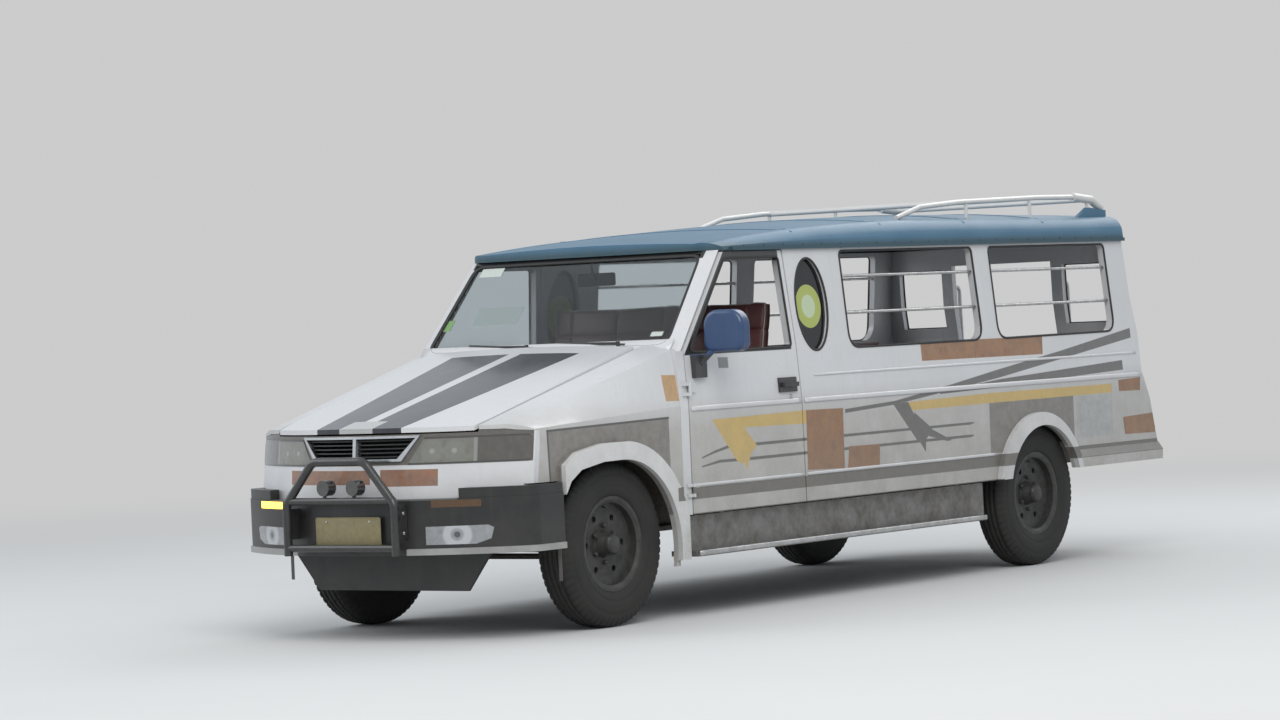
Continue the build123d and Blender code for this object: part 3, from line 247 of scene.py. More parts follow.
    def ribbon(self, along, height, points, soft=0.003):
        """1 between a low and a high line, given as (along, low, high) points."""
        start, end = points[0][0], points[-1][0]
        bottom = min(p[1] for p in points) - 0.01
        top = max(p[2] for p in points) + 0.01
        share = self.spread(along, start, end)
        lines = []
        for column in (1, 2):
            node = self.new("ShaderNodeFloatCurve")
            curve = node.mapping.curves[0]
            while len(curve.points) < len(points):
                curve.points.new(0.5, 0.5)
            for point, knot in zip(points, curve.points):
                knot.location = (
                    (point[0] - start) / (end - start), (point[column] - bottom) / (top - bottom),
                )
                knot.handle_type = "VECTOR"
            node.mapping.update()
            self.put(share, node.inputs["Value"])
            lines.append(self.spread(node.outputs[0], 0.0, 1.0, bottom, top))
        over = self.spread(self.math("SUBTRACT", height, lines[0]), -soft / 2, soft / 2)
        under = self.spread(self.math("SUBTRACT", lines[1], height), -soft / 2, soft / 2)
        return self.all_of(over, under, self.between(along, start, end, soft))

    def pair(self, first, second):
        node = self.new("ShaderNodeCombineXYZ")
        self.put(first, node.inputs[0])
        self.put(second, node.inputs[1])
        node.inputs[2].default_value = 1.0
        return node.outputs[0]


def weather(t, colour, film_top=1.0, film_low=0.30, amount=0.42, gloss=0.27):
    """Dust, streaks and road film over a paint, and the small waves of hand-beaten sheet."""
    blotch = t.noise(5.0, 5.0, 0.6, low=0.35, high=0.72)
    streak = t.noise(1.0, 4.0, 0.6, vector=t.stretch((26.0, 26.0, 1.6)), low=0.45, high=0.8)
    grit = t.noise(90.0, 3.0, 0.7, low=0.45, high=0.75)
    film = t.spread(t.z, film_top, film_low)
    film = t.times(film, t.scaled(blotch, 0.65, 0.35))
    film = t.times(film, amount, clamp=True)
    light = t.times(t.any_of(streak, t.times(blotch, 0.6)), 0.10)
    dust = t.math("ADD", film, light, clamp=True)
    dust = t.times(dust, t.scaled(grit, 0.35, 0.8), clamp=True)
    rough = t.scaled(dust, 0.55, gloss, clamp=True)
    t.shade(t.mix(dust, colour, DIRT), rough, Coat_Weight=0.35, Coat_Roughness=0.12)
    t.bump(t.noise(2.6, 2.0, 0.5), 0.010, 0.35)
    t.bump(t.noise(420.0, 2.0, 0.5), 0.0004, 0.35)
    return t.material


def plain_paint(name, colour, **film):
    """One colour of worn paint."""
    t = Tree(name)
    tint = t.noise(2.0, 3.0, 0.5, low=0.3, high=0.7)
    shade = tuple(c * 0.93 for c in colour)
    return weather(t, t.mix(tint, colour, shade), **film)


def side_paint():
    """White sides with their stripes, and plain grey, ochre and brown panels."""
    t = Tree("Side_paint")
    s = t.station()
    wide = t.wide()
    face = t.above(wide, 0.79, 0.004)
    uv = t.pair(s, t.z)
    fade = t.noise(24.0, 4.0, 0.7, low=0.25, high=0.75)
    colour = t.mix(t.noise(1.6, 2.0, 0.5, low=0.3, high=0.7), WHITE, (0.57, 0.57, 0.575))
    # the white turns darker and browner from 1.05 m down to 0.9 m, and stays so below
    lower_darkening = t.times(t.spread(t.z, 1.05, 0.90), t.scaled(fade, 0.25, 0.60))
    colour = t.mix(lower_darkening, colour, (0.40, 0.385, 0.355))

    def layer(mask, tint, tint_b=None):
        nonlocal colour
        mask = t.times(mask, face)
        colour = t.mix(mask, colour, t.mix(fade, tint, tint_b or tuple(c * 0.72 for c in tint)))

    # taupe panels round the two arches
    panels = t.polygons(
        uv,
        [(0.384, 0.936), (1.290, 0.952), (1.290, 0.30), (0.403, 0.30)],
        [(4.121, 0.900), (4.983, 0.918), (4.983, 0.628), (4.121, 0.628)],
    )
    mottle = t.noise(11.0, 6.0, 0.75, low=0.35, high=0.7)
    layer(panels, (0.25, 0.235, 0.215), t.mix(mottle, (0.13, 0.12, 0.11), (0.21, 0.20, 0.185)))
    border = t.polygons(
        uv,
        [(0.380, 0.940), (1.294, 0.957), (1.294, 0.947), (0.380, 0.930)],
        [(0.380, 0.940), (0.392, 0.940), (0.400, 0.68), (0.388, 0.68)],
    )
    layer(border, (0.09, 0.09, 0.09))
    # flared lips of the arches stay white
    lip = (0.66, 0.65, 0.63)
    layer(t.all_of(t.above(wide, 0.8425, 0.002), t.below(s, 1.42), t.below(t.z, 0.86)), lip, WHITE)
    ring = t.away(s, REAR_AXLE - 0.05, t.z, 0.385)
    layer(t.all_of(t.between(ring, 0.30, 0.442), t.above(wide, 0.8405, 0.002)), lip, WHITE)
    # thin grey double lines
    lines = t.any_of(
        t.ribbon(s, t.z, [
            (1.539, 0.745, 0.752), (1.64, 0.765, 0.777), (1.754, 0.783, 0.798), (1.978, 0.784, 0.799),
            (3.926, 0.790, 0.803), (3.97, 0.797, 0.801),
        ]),
        t.ribbon(s, t.z, [
            (1.536, 0.703, 0.710), (1.684, 0.718, 0.732), (1.90, 0.716, 0.731), (3.93, 0.724, 0.738),
            (3.96, 0.730, 0.735),
        ]),
    )
    layer(lines, (0.14, 0.14, 0.135))
    # ochre swooshes
    ochre = t.any_of(
        t.polygons(
            uv,
            [(1.632, 0.926), (2.424, 0.936), (2.424, 0.870), (1.76, 0.878)],
            [(1.632, 0.926), (1.880, 0.890), (1.995, 0.785), (1.870, 0.700), (1.82, 0.722)],
            [(1.870, 0.745), (1.940, 0.745), (1.905, 0.668)],
        ),
        t.ribbon(s, t.z, [
            (3.295, 0.903, 0.921), (3.343, 0.890, 0.934), (4.134, 0.894, 0.947), (5.40, 0.897, 0.945),
        ]),
    )
    layer(ochre, (0.60, 0.42, 0.13), (0.50, 0.36, 0.15))
    # chevron and the two long diagonal stripes
    dark = t.any_of(
        t.polygons(
            uv,
            [(3.203, 0.931), (3.343, 0.936), (3.500, 0.733), (3.422, 0.728)],
            [(3.395, 0.881), (3.560, 0.790), (3.500, 0.733), (3.40, 0.80)],
            [(3.500, 0.805), (3.745, 0.719), (3.700, 0.716), (3.480, 0.760)],
            [(3.422, 0.745), (3.500, 0.745), (3.493, 0.668)],
        ),
        t.ribbon(s, t.z, [
            (2.767, 0.905, 0.925), (3.223, 0.927, 0.946), (3.749, 0.977, 1.006), (4.253, 1.026, 1.070),
            (4.883, 1.100, 1.144), (5.655, 1.192, 1.246),
        ]),
        t.ribbon(s, t.z, [
            (3.649, 0.962, 0.973), (4.242, 0.974, 1.016), (4.862, 0.997, 1.042), (5.535, 1.017, 1.071),
        ]),
    )
    layer(dark, (0.115, 0.11, 0.105), (0.15, 0.145, 0.14))
    # brown patches
    patches = t.polygons(
        uv,
        [(2.424, 0.936), (2.749, 0.931), (2.745, 0.631), (2.420, 0.640)],
        [(2.790, 0.738), (3.069, 0.734), (3.061, 0.623), (2.772, 0.630)],
        [(3.507, 1.237), (4.713, 1.230), (4.700, 1.133), (3.507, 1.139)],
        [(5.472, 0.962), (5.716, 0.969), (5.710, 0.896), (5.478, 0.900)],
        [(5.510, 0.755), (5.868, 0.766), (5.859, 0.654), (5.525, 0.659)],
    )
    layer(patches, (0.33, 0.155, 0.065), t.mix(mottle, (0.15, 0.085, 0.055), (0.30, 0.19, 0.11)))
    for outline, tint in (
        ([(1.285, 1.154), (1.436, 1.148), (1.420, 1.026), (1.285, 1.030)], (0.52, 0.33, 0.17)),
        ([(5.013, 0.890), (5.401, 0.893), (5.395, 0.660), (5.013, 0.662)], (0.47, 0.475, 0.47)),
        ([(1.722, 1.222), (1.804, 1.220), (1.804, 1.168), (1.722, 1.170)], (0.25, 0.25, 0.25)),
    ):
        layer(t.polygon(uv, outline), tint)
    # dark lower band, white stripe, and a near-black sill: painted shade on the sill's riser, which is
    # set back under the side
    behind_arch = t.above(s, 1.300, 0.004)
    band = t.all_of(t.between(t.z, 0.556, 0.620), behind_arch)
    layer(band, (0.115, 0.11, 0.10), (0.16, 0.15, 0.135))
    # painted shade: the recessed sill below 0.49 m darkened to near-black
    sill_shade = t.all_of(t.below(t.z, 0.490), t.between(s, 1.42, 4.2))
    layer(sill_shade, (0.06, 0.055, 0.05), (0.10, 0.09, 0.08))
    layer(t.all_of(t.between(t.z, 0.612, 0.628), t.between(s, 1.47, 2.42)), (0.60, 0.60, 0.58))
    # near-black foot behind the bumper: painted shade, so the fender's front foot sinks into the shade
    # under the bumper; and black window frames on the doors
    layer(t.all_of(t.below(t.z, 0.440), t.below(s, 0.62)), (0.020, 0.020, 0.020))
    door_frame = t.polygon(
        uv, [(1.454, 1.240), (2.350, 1.240), (2.325, 1.700), (2.321, 1.790), (1.921, 1.790)],
    )
    colour = t.mix(t.times(door_frame, t.above(wide, 0.745, 0.002)), colour, BLACK_FRAME)
    return weather(t, colour, film_top=1.12, film_low=0.30, amount=0.62)


def cowl_paint():
    """White windshield frame with a black head rail."""
    t = Tree("Cowl_paint")
    rail = t.all_of(t.above(t.z, 1.702, 0.002), t.below(t.wide(), 0.716, 0.002))
    tint = t.noise(2.0, 3.0, 0.5, low=0.3, high=0.7)
    colour = t.mix(tint, WHITE, (0.56, 0.56, 0.57))
    colour = t.mix(rail, colour, BLACK_FRAME)
    return weather(t, colour, film_top=1.0, film_low=0.35)


def nose_paint():
    """White nose with a dark band round the lamps and two brown strips."""
    t = Tree("Nose_paint")
    wide = t.wide()
    uv = t.pair(t.x, t.z)
    strips = t.polygons(
        uv,
        [(-0.462, 0.789), (0.088, 0.787), (0.090, 0.722), (-0.458, 0.723)],
        [(0.144, 0.789), (0.433, 0.787), (0.435, 0.711), (0.150, 0.712)],
    )
    fade = t.noise(40.0, 4.0, 0.7, low=0.3, high=0.7)
    mottle = t.noise(22.0, 6.0, 0.75, low=0.35, high=0.7)
    patch = t.mix(fade, (0.30, 0.13, 0.075), t.mix(mottle, (0.13, 0.08, 0.06), (0.30, 0.20, 0.13)))
    colour = t.mix(strips, WHITE, patch)
    band = t.all_of(t.above(t.z, 0.808, 0.003), t.below(wide, 0.815, 0.003))
    colour = t.mix(band, colour, t.mix(fade, (0.085, 0.08, 0.07), (0.12, 0.11, 0.10)))
    return weather(t, colour, film_top=0.95, film_low=0.55, amount=0.30)


def bonnet_paint():
    """White bonnet with a pair of dark stripes, and a grey spot between their front ends."""
    t = Tree("Bonnet_paint")
    s = t.station()
    wide = t.wide()
    outer = t.spread(s, 0.0, 1.3, 0.250, 0.405)
    stripes = t.all_of(
        t.above(wide, 0.036, 0.003),
        t.spread(t.math("SUBTRACT", outer, wide), -0.0015, 0.0015),
        t.below(s, 1.20, 0.003),
    )
    front_spot = t.all_of(t.below(wide, 0.100, 0.004), t.below(s, 0.125, 0.004))
    stripes = t.times(stripes, t.math("SUBTRACT", 1.0, front_spot))
    fade = t.noise(14.0, 4.0, 0.65, low=0.3, high=0.8)
    dark = t.mix(fade, (0.024, 0.024, 0.031), (0.050, 0.050, 0.060))
    colour = t.mix(front_spot, WHITE, (0.42, 0.42, 0.41))
    colour = t.mix(stripes, colour, dark)
    return weather(t, colour, film_top=0.8, film_low=0.5, amount=0.2, gloss=0.22)


def roof_paint():
    """Blue roof, chalky on top, with a dark drip line."""
    t = Tree("Roof_paint")
    drip = t.spread(t.z, 1.786, 1.750)
    chalk = t.noise(3.0, 5.0, 0.6, low=0.35, high=0.75)
    colour = t.mix(chalk, (0.040, 0.130, 0.215), (0.062, 0.160, 0.250))
    colour = t.mix(t.times(drip, 0.85), colour, (0.016, 0.048, 0.060))
    material = weather(t, colour, film_top=0.6, film_low=0.3, amount=0.2, gloss=0.46)
    t.set("Coat Weight", 0.1)
    return material


def bumper_plastic():
    """Black bumper with a painted highlight greying its top, and a grey lower strip at each side."""
    t = Tree("Bumper_plastic")
    wide = t.wide()
    worn = t.noise(9.0, 5.0, 0.65, low=0.3, high=0.8)
    colour = t.mix(worn, (0.012, 0.012, 0.013), (0.024, 0.023, 0.022))
    # painted highlight: the top face greyed for the light falling on it
    top = t.all_of(t.above(t.z, 0.649, 0.004), t.below(wide, 0.565, 0.006))
    colour = t.mix(top, colour, (0.10, 0.098, 0.09))
    ahead = t.below(t.y, -2.50, 0.01)
    strip = t.all_of(t.between(t.z, 0.400, 0.4315), t.above(wide, 0.33, 0.006), ahead)
    colour = t.mix(strip, colour, t.mix(worn, (0.33, 0.33, 0.325), (0.22, 0.215, 0.205)))
    t.bump(t.noise(900.0, 2.0), 0.0003, 0.5)
    material = weather(t, colour, film_top=0.60, film_low=0.20, amount=0.16, gloss=0.34)
    t.set("Coat Weight", 0.0)
    return material


def simple(name, colour, other, metallic=0.0, rough=0.4, spread=0.2, scale=12.0, bump=0.0, fine=300.0,
           dusty=0.0, **sockets):
    """A material whose colour and roughness wander between two values, with a fine grain."""
    t = Tree(name)
    share = t.noise(scale, 5.0, 0.6, low=0.3, high=0.75)
    tint = t.mix(share, colour, other)
    if dusty:
        dust = t.times(t.noise(scale * 2.3, 5.0, 0.7, low=0.35, high=0.8), dusty)
        tint = t.mix(dust, tint, DIRT)
    t.shade(tint, t.scaled(share, spread, rough, clamp=True), Metallic=metallic, **sockets)
    if bump:
        t.bump(t.noise(fine, 3.0, 0.6), bump)
    return t.material


def headlamp_lens():
    """A hazy ribbed lens with two reflectors painted behind it as lighter discs, a painted reflection,
    and a darker corner lens.
    """
    t = Tree("Headlamp_lens")
    wide = t.wide()
    haze = t.noise(30.0, 4.0, 0.6, low=0.3, high=0.8)
    clear = t.mix(haze, (0.20, 0.195, 0.165), (0.14, 0.135, 0.115))
    # painted reflection: each reflector behind the lens is a lighter disc with a brighter centre
    for middle, radius in ((0.405, 0.052), (0.505, 0.046)):
        away = t.away(wide, middle, t.z, 0.868)
        clear = t.mix(t.times(t.below(away, radius, 0.014), 0.3), clear, (0.26, 0.26, 0.23))
        clear = t.mix(t.below(away, 0.012, 0.006), clear, (0.30, 0.30, 0.27))
    corner = t.mix(haze, (0.085, 0.078, 0.068), (0.12, 0.105, 0.09))
    colour = t.mix(t.above(wide, 0.603, 0.004), clear, corner)
    colour = t.mix(t.between(wide, 0.588, 0.603, 0.004), colour, (0.26, 0.26, 0.24))
    edge = t.any_of(t.below(t.z, 0.817, 0.003), t.above(t.z, 0.923, 0.003))
    colour = t.mix(edge, colour, (0.06, 0.055, 0.05))
    rough = t.scaled(haze, 0.12, 0.10)
    t.shade(colour, rough, Metallic=0.25, Coat_Weight=1.0, Coat_Roughness=0.06)
    t.bump(t.wave(42.0, "X"), 0.0012, 0.6)
    return t.material


def front_lamp_paint():
    """Fog lenses with a painted reflection ring, amber indicators (the right one lit) and two small round
    lamps in dark cups.
    """
    t = Tree("Front_lamps")
    wide = t.wide()
    s = t.station()
    haze = t.noise(30.0, 4.0, 0.6, low=0.3, high=0.8)
    colour = t.mix(haze, (0.30, 0.31, 0.32), (0.20, 0.205, 0.21))
    away = t.away(wide, 0.56, t.z, 0.492)
    # painted reflection: a lighter ring on each fog lens for the reflector behind it, round a dark centre
    colour = t.mix(t.times(t.between(away, 0.028, 0.062, 0.01), 0.7), colour, (0.50, 0.51, 0.53))
    colour = t.mix(t.below(away, 0.014, 0.004), colour, (0.08, 0.08, 0.085))
    amber = t.all_of(t.above(t.z, 0.60, 0.002), t.above(wide, 0.40, 0.01))
    colour = t.mix(amber, colour, t.mix(haze, (0.10, 0.050, 0.016), (0.070, 0.036, 0.014)))
    small = t.below(wide, 0.30, 0.002)
    colour = t.mix(small, colour, t.mix(haze, (0.016, 0.016, 0.017), (0.030, 0.029, 0.028)))
    glass = t.all_of(small, t.below(s, -0.1335, 0.0005), t.above(t.z, 0.68))
    colour = t.mix(glass, colour, t.mix(haze, (0.085, 0.085, 0.08), (0.05, 0.05, 0.048)))
    lit = t.all_of(amber, t.below(t.x, 0.0))
    glow = t.mix(lit, (0.0, 0.0, 0.0), (1.0, 0.55, 0.05))
    t.shade(colour, t.scaled(haze, 0.12, 0.10), Emission_Color=glow, Emission_Strength=5.0,
            Coat_Weight=0.8, Coat_Roughness=0.06)
    t.bump(t.wave(70.0, "X"), 0.0010, 0.5)
    return t.material


def grille_chrome():
    """Bright frame and centre bar round dark cross bars."""
    t = Tree("Grille_chrome")
    wide = t.wide()
    uv = t.pair(wide, t.z)
    opening = [(0.009, 0.837), (0.2405, 0.837), (0.3310, 0.931), (0.009, 0.931)]
    inside = t.polygon(uv, opening, 0.001)
    worn = t.noise(30.0, 5.0, 0.6, low=0.3, high=0.75)
    bright = t.mix(worn, (0.74, 0.75, 0.76), (0.55, 0.55, 0.55))
    rough = t.scaled(inside, 0.35, t.scaled(worn, 0.15, 0.09))
    metal = t.math("SUBTRACT", 1.0, inside)
    t.shade(t.mix(inside, bright, (0.016, 0.016, 0.017)), rough, Metallic=metal)
    return t.material


def mirror_shell():
    """Dark blue mirror head on a near-black foot, and a near-black door handle."""
    t = Tree("Mirror_shell")
    worn = t.noise(14.0, 5.0, 0.6, low=0.3, high=0.75)
    head = t.above(t.z, 1.235, 0.006)
    dark = t.mix(worn, (0.020, 0.020, 0.022), (0.045, 0.043, 0.042))
    blue = t.mix(worn, (0.014, 0.043, 0.122), (0.022, 0.056, 0.136))
    rough = t.scaled(worn, 0.18, 0.28)
    t.shade(t.mix(head, dark, blue), rough, Coat_Weight=0.4, Coat_Roughness=0.15)
    t.bump(t.noise(300.0, 3.0, 0.6), 0.0002)
    return t.material


def step_paint():
    """Rear step: worn grey-white paint with a ribbed rubber top and a black plate below."""
    t = Tree("Step_paint")
    worn = t.noise(9.0, 6.0, 0.7, low=0.35, high=0.7)
    colour = t.mix(worn, (0.34, 0.34, 0.33), (0.16, 0.15, 0.14))
    top = t.above(t.z, 0.5842, 0.001)
    colour = t.mix(top, colour, (0.03, 0.03, 0.031))
    colour = t.mix(t.below(t.z, 0.503, 0.004), colour, (0.035, 0.034, 0.033))
    ribs = t.times(t.wave(24.0, "X"), top)
    material = weather(t, colour, film_top=0.75, film_low=0.35, amount=0.35, gloss=0.4)
    t.bump(ribs, 0.002, 0.7)
    return material


def tail_lens():
    """Lamp blocks with an amber, a red and a clear part."""
    t = Tree("Tail_lens")
    haze = t.noise(40.0, 4.0, 0.6, low=0.3, high=0.8)
    colour = t.mix(haze, (0.42, 0.018, 0.012), (0.30, 0.014, 0.010))
    amber = t.mix(haze, (0.60, 0.24, 0.02), (0.45, 0.18, 0.02))
    colour = t.mix(t.above(t.z, 1.128, 0.002), colour, amber)
    clear = t.mix(haze, (0.55, 0.56, 0.56), (0.42, 0.43, 0.43))
    colour = t.mix(t.below(t.z, 1.050, 0.002), colour, clear)
    lines = t.any_of(t.between(t.z, 1.126, 1.131, 0.001), t.between(t.z, 1.048, 1.053, 0.001))
    colour = t.mix(lines, colour, (0.03, 0.03, 0.03))
    t.shade(colour, t.scaled(haze, 0.1, 0.12), Coat_Weight=1.0, Coat_Roughness=0.05)
    t.bump(t.wave(80.0, "X"), 0.001, 0.5)
    t.bump(t.wave(80.0, "Z"), 0.001, 0.5)
    return t.material


def floor_paint():
    """Grey floor paint, worn along the aisle, with a black ribbed mat down the middle."""
    t = Tree("Floor_paint")
    wide = t.wide()
    worn = t.noise(7.0, 6.0, 0.7, low=0.35, high=0.7)
    colour = t.mix(worn, (0.17, 0.175, 0.18), (0.10, 0.095, 0.09))
    mat = t.all_of(t.below(wide, 0.28, 0.004), t.above(t.z, 0.6595, 0.0005))
    colour = t.mix(mat, colour, t.mix(worn, (0.022, 0.022, 0.022), (0.07, 0.062, 0.052)))
    t.shade(colour, t.scaled(worn, 0.2, 0.5))
    t.bump(t.times(t.wave(22.0, "X"), mat), 0.002, 0.7)
    t.bump(t.noise(140.0, 4.0, 0.6), 0.0006)
    return t.material


def tyre_rubber():
    """Black rubber with dust in it."""
    t = Tree("Tyre_rubber")
    dust = t.noise(7.0, 6.0, 0.65, low=0.3, high=0.75)
    colour = t.mix(dust, (0.010, 0.010, 0.010), (0.030, 0.027, 0.024))
    t.shade(colour, t.scaled(dust, 0.18, 0.68))
    t.bump(t.noise(260.0, 3.0, 0.6), 0.0006, 0.6)
    return t.material


def window_glass():
    """Grey windshield with pale patches, and dark oval panes with a round green disc."""
    t = Tree("Window_glass")
    s = t.station()
    wide = t.wide()
    oval = t.times(t.above(wide, 0.755, 0.002), t.above(s, 2.2, 0.01))
    ring = t.away(s, 2.560, t.z, 1.447)
    disc = t.all_of(oval, t.below(ring, 0.108))
    middle = t.all_of(oval, t.below(ring, 0.058))
    haze = t.noise(6.0, 5.0, 0.6, low=0.35, high=0.8)
    colour = t.mix(oval, (0.52, 0.56, 0.56), (0.014, 0.015, 0.016))
    colour = t.mix(disc, colour, (0.36, 0.41, 0.11))
    colour = t.mix(middle, colour, (0.46, 0.54, 0.36))
    ahead = t.below(s, 2.0, 0.01)
    pale = t.all_of(ahead, t.any_of(
        t.all_of(t.between(t.x, -0.655, -0.515, 0.002), t.between(t.z, 1.664, 1.722)),
        t.all_of(t.between(t.x, 0.610, 0.680, 0.006), t.between(t.z, 1.337, 1.357, 0.004)),
    ))
    green = t.between(t.x, -0.755, -0.675, 0.004)
    green = t.all_of(ahead, green, t.between(t.z, 1.400, 1.452, 0.004))
    faint = t.between(t.x, -0.555, -0.265, 0.003)
    faint = t.all_of(ahead, faint, t.between(t.z, 1.420, 1.506))
    colour = t.mix(pale, colour, (0.50, 0.54, 0.50))
    colour = t.mix(green, colour, (0.20, 0.36, 0.14))
    colour = t.mix(faint, colour, (0.42, 0.48, 0.47))
    solid = t.any_of(oval, pale, t.times(green, 0.85), t.times(faint, 0.28))
    see_through = t.math("SUBTRACT", 1.0, solid)
    t.shade(colour, t.scaled(haze, 0.05, 0.015), Transmission_Weight=see_through, IOR=1.45)
    return t.material


def tread_plate():
    """Worn metal plate with raised lugs in two slanting directions."""
    t = Tree("Tread_plate")
    worn = t.noise(14.0, 5.0, 0.65, low=0.3, high=0.75)
    colour = t.mix(worn, (0.26, 0.255, 0.25), (0.13, 0.115, 0.10))
    t.shade(colour, t.scaled(worn, 0.2, 0.38), Metallic=0.55)
    one_way = t.wave(16.0, "DIAGONAL")
    other_way = t.wave(16.0, "DIAGONAL", vector=t.stretch((-1.0, 1.0, 1.0)))
    lugs = t.spread(t.any_of(one_way, other_way), 0.93, 1.0)
    t.bump(lugs, 0.0015, 0.8)
    return t.material


def vinyl(name, colour, other):
    """Grained vinyl upholstery."""
    t = Tree(name)
    worn = t.noise(6.0, 5.0, 0.6, low=0.3, high=0.75)
    t.shade(t.mix(worn, colour, other), t.scaled(worn, 0.15, 0.38), Sheen_Weight=0.1)
    t.bump(t.cells(420.0), 0.0008, 0.5)
    t.bump(t.noise(18.0, 3.0, 0.6), 0.003, 0.4)
    return t.material


paints = {
    "side": side_paint(), "nose": nose_paint(), "bonnet": bonnet_paint(), "roof": roof_paint(),
    "cowl": cowl_paint(), "white": plain_paint("White_paint", WHITE, film_top=1.0, film_low=0.35),
    "bumper": bumper_plastic(), "tyre": tyre_rubber(), "glass": window_glass(),
    "dark": simple("Dark_tube_paint", (0.014, 0.014, 0.015), (0.028, 0.027, 0.026), rough=0.28,
                   dusty=0.12, bump=0.0003, Coat_Weight=0.3, Coat_Roughness=0.15),
    "chassis": simple("Chassis_black", (0.030, 0.029, 0.028), (0.075, 0.060, 0.045), rough=0.55,
                      scale=20.0, bump=0.0008, fine=120.0, dusty=0.5),
    "iron": simple("Cast_iron", (0.14, 0.135, 0.13), (0.09, 0.07, 0.055), metallic=0.6, rough=0.5,
                   bump=0.001, fine=160.0, dusty=0.3),
    "rust": simple("Exhaust_steel", (0.22, 0.17, 0.13), (0.16, 0.09, 0.055), metallic=0.5, rough=0.55,
                   bump=0.0006),
    "chrome": simple("Chrome", (0.74, 0.75, 0.76), (0.58, 0.58, 0.58), metallic=1.0, rough=0.09,
                     spread=0.16, scale=30.0),
    "steel": simple("Bright_steel", (0.60, 0.60, 0.60), (0.40, 0.39, 0.38), metallic=1.0, rough=0.24,
                    scale=26.0, dusty=0.12),
    "aluminium": simple("Aluminium_edge", (0.58, 0.58, 0.58), (0.42, 0.41, 0.40), metallic=0.9,
                        rough=0.34, scale=22.0, dusty=0.25),
    # dark wheel paint, darkened further to near-black as painted shade
    "wheel": simple("Shaded_wheel_paint", (0.030, 0.030, 0.030), (0.018, 0.017, 0.016), rough=0.42, scale=16.0,
                    bump=0.0005, dusty=0.22),
    "visor": simple("Visor_cloth", (0.16, 0.155, 0.145), (0.11, 0.105, 0.10), rough=0.8, bump=0.0006,
                    fine=700.0),
    "bottle": simple("Milky_plastic", (0.50, 0.50, 0.44), (0.36, 0.34, 0.28), rough=0.4, dusty=0.3,
                     bump=0.0003),
    "plastic": simple("Black_plastic", (0.028, 0.028, 0.029), (0.045, 0.045, 0.045), rough=0.45,
                      bump=0.0003, fine=500.0),
    "rubber": simple("Window_rubber", (0.020, 0.020, 0.021), (0.034, 0.033, 0.032), rough=0.58,
                     bump=0.0003),
    "mirror": simple("Mirror_glass", (0.80, 0.82, 0.83), (0.72, 0.74, 0.75), metallic=1.0, rough=0.03,
                     spread=0.03),
    "lamp": headlamp_lens(), "front_lamps": front_lamp_paint(), "grille": grille_chrome(),
    "tail": tail_lens(), "red_lens": simple(
        "Red_reflector", (0.42, 0.018, 0.012), (0.30, 0.014, 0.010), rough=0.14, spread=0.1, scale=60.0,
        bump=0.0008, fine=260.0, Coat_Weight=1.0, Coat_Roughness=0.05),
    "step": step_paint(), "floor": floor_paint(), "mirror_shell": mirror_shell(),
    # the plates' yellow darkened to a dull brown: painted shade
    "plate": simple("Shaded_blank_plate", (0.24, 0.20, 0.09), (0.17, 0.14, 0.07), rough=0.4, scale=30.0,
                    dusty=0.35),
    "dash": simple("Dash_grain", (0.042, 0.042, 0.045), (0.060, 0.058, 0.055), rough=0.5, bump=0.0006,
                   fine=420.0, dusty=0.15),
    "white_tube": plain_paint("Rack_paint", (0.62, 0.61, 0.59), film_top=0.5, film_low=0.2),
    "seat_box": simple("Box_paint", (0.12, 0.122, 0.125), (0.08, 0.078, 0.075), rough=0.5, scale=9.0,
                       bump=0.0006, fine=140.0, dusty=0.3),
    "tread_plate": tread_plate(),
    "vinyl": vinyl("Red_vinyl", (0.115, 0.030, 0.030), (0.070, 0.022, 0.022)),
    "piping": simple("Pale_piping", (0.40, 0.38, 0.34), (0.28, 0.26, 0.23), rough=0.5, bump=0.0003),
}


dress = {
    "chassis_frame": "chassis", "engine_block": "iron", "front_axle": "chassis", "rear_axle": "chassis",
    "leaf_springs": "chassis", "fuel_tank": "chassis", "exhaust": "rust", "floor_pan": "floor",
    "cowl_frame": "cowl", "dashboard": "dash", "glass_panes": "glass", "wipers": "plastic",
    "front_fenders": "side", "arch_liners": "chassis", "nose_panel": "nose", "grille": "grille",
    "headlamps": "lamp", "front_bumper": "bumper", "front_lamps": "front_lamps", "bull_bar": "dark",
    "side_left": "side", "side_right": "side", "window_bars": "steel", "roof": "roof",
    "roof_rack": "white_tube", "rear_frame": "white", "rear_step": "step", "tail_lamps": "tail",
    "running_boards": "tread_plate", "seat_frames": "seat_box", "bonnet": "bonnet", "door_left": "side",
    "door_right": "side", "door_fittings_left": "mirror_shell", "door_fittings_right": "mirror_shell",
    "knuckle_left": "chassis", "knuckle_right": "chassis", "tie_rod": "chassis",
    "steering_wheel": "plastic", "seat_cushions": "vinyl", "seat_backs": "vinyl",
}
for end in ("front_left", "front_right", "rear_left", "rear_right"):
    dress["tyre_" + end] = "tyre"
    dress["wheel_" + end] = "wheel"
for name, look in dress.items():
    mesh = nodes[name].data
    mesh.materials.clear()
    mesh.materials.append(paints[look])


# Mesh helpers. A shape is a list of vertices and a list of faces.


def merge(*shapes):
    """One shape from several."""
    verts, faces = [], []
    for more_verts, more_faces in shapes:
        start = len(verts)
        verts += [Vector(v) for v in more_verts]
        faces += [tuple(i + start for i in f) for f in more_faces]
    return verts, faces


def moved(shape, matrix):
    """The shape in another place."""
    verts, faces = shape
    return [matrix @ Vector(v) for v in verts], faces


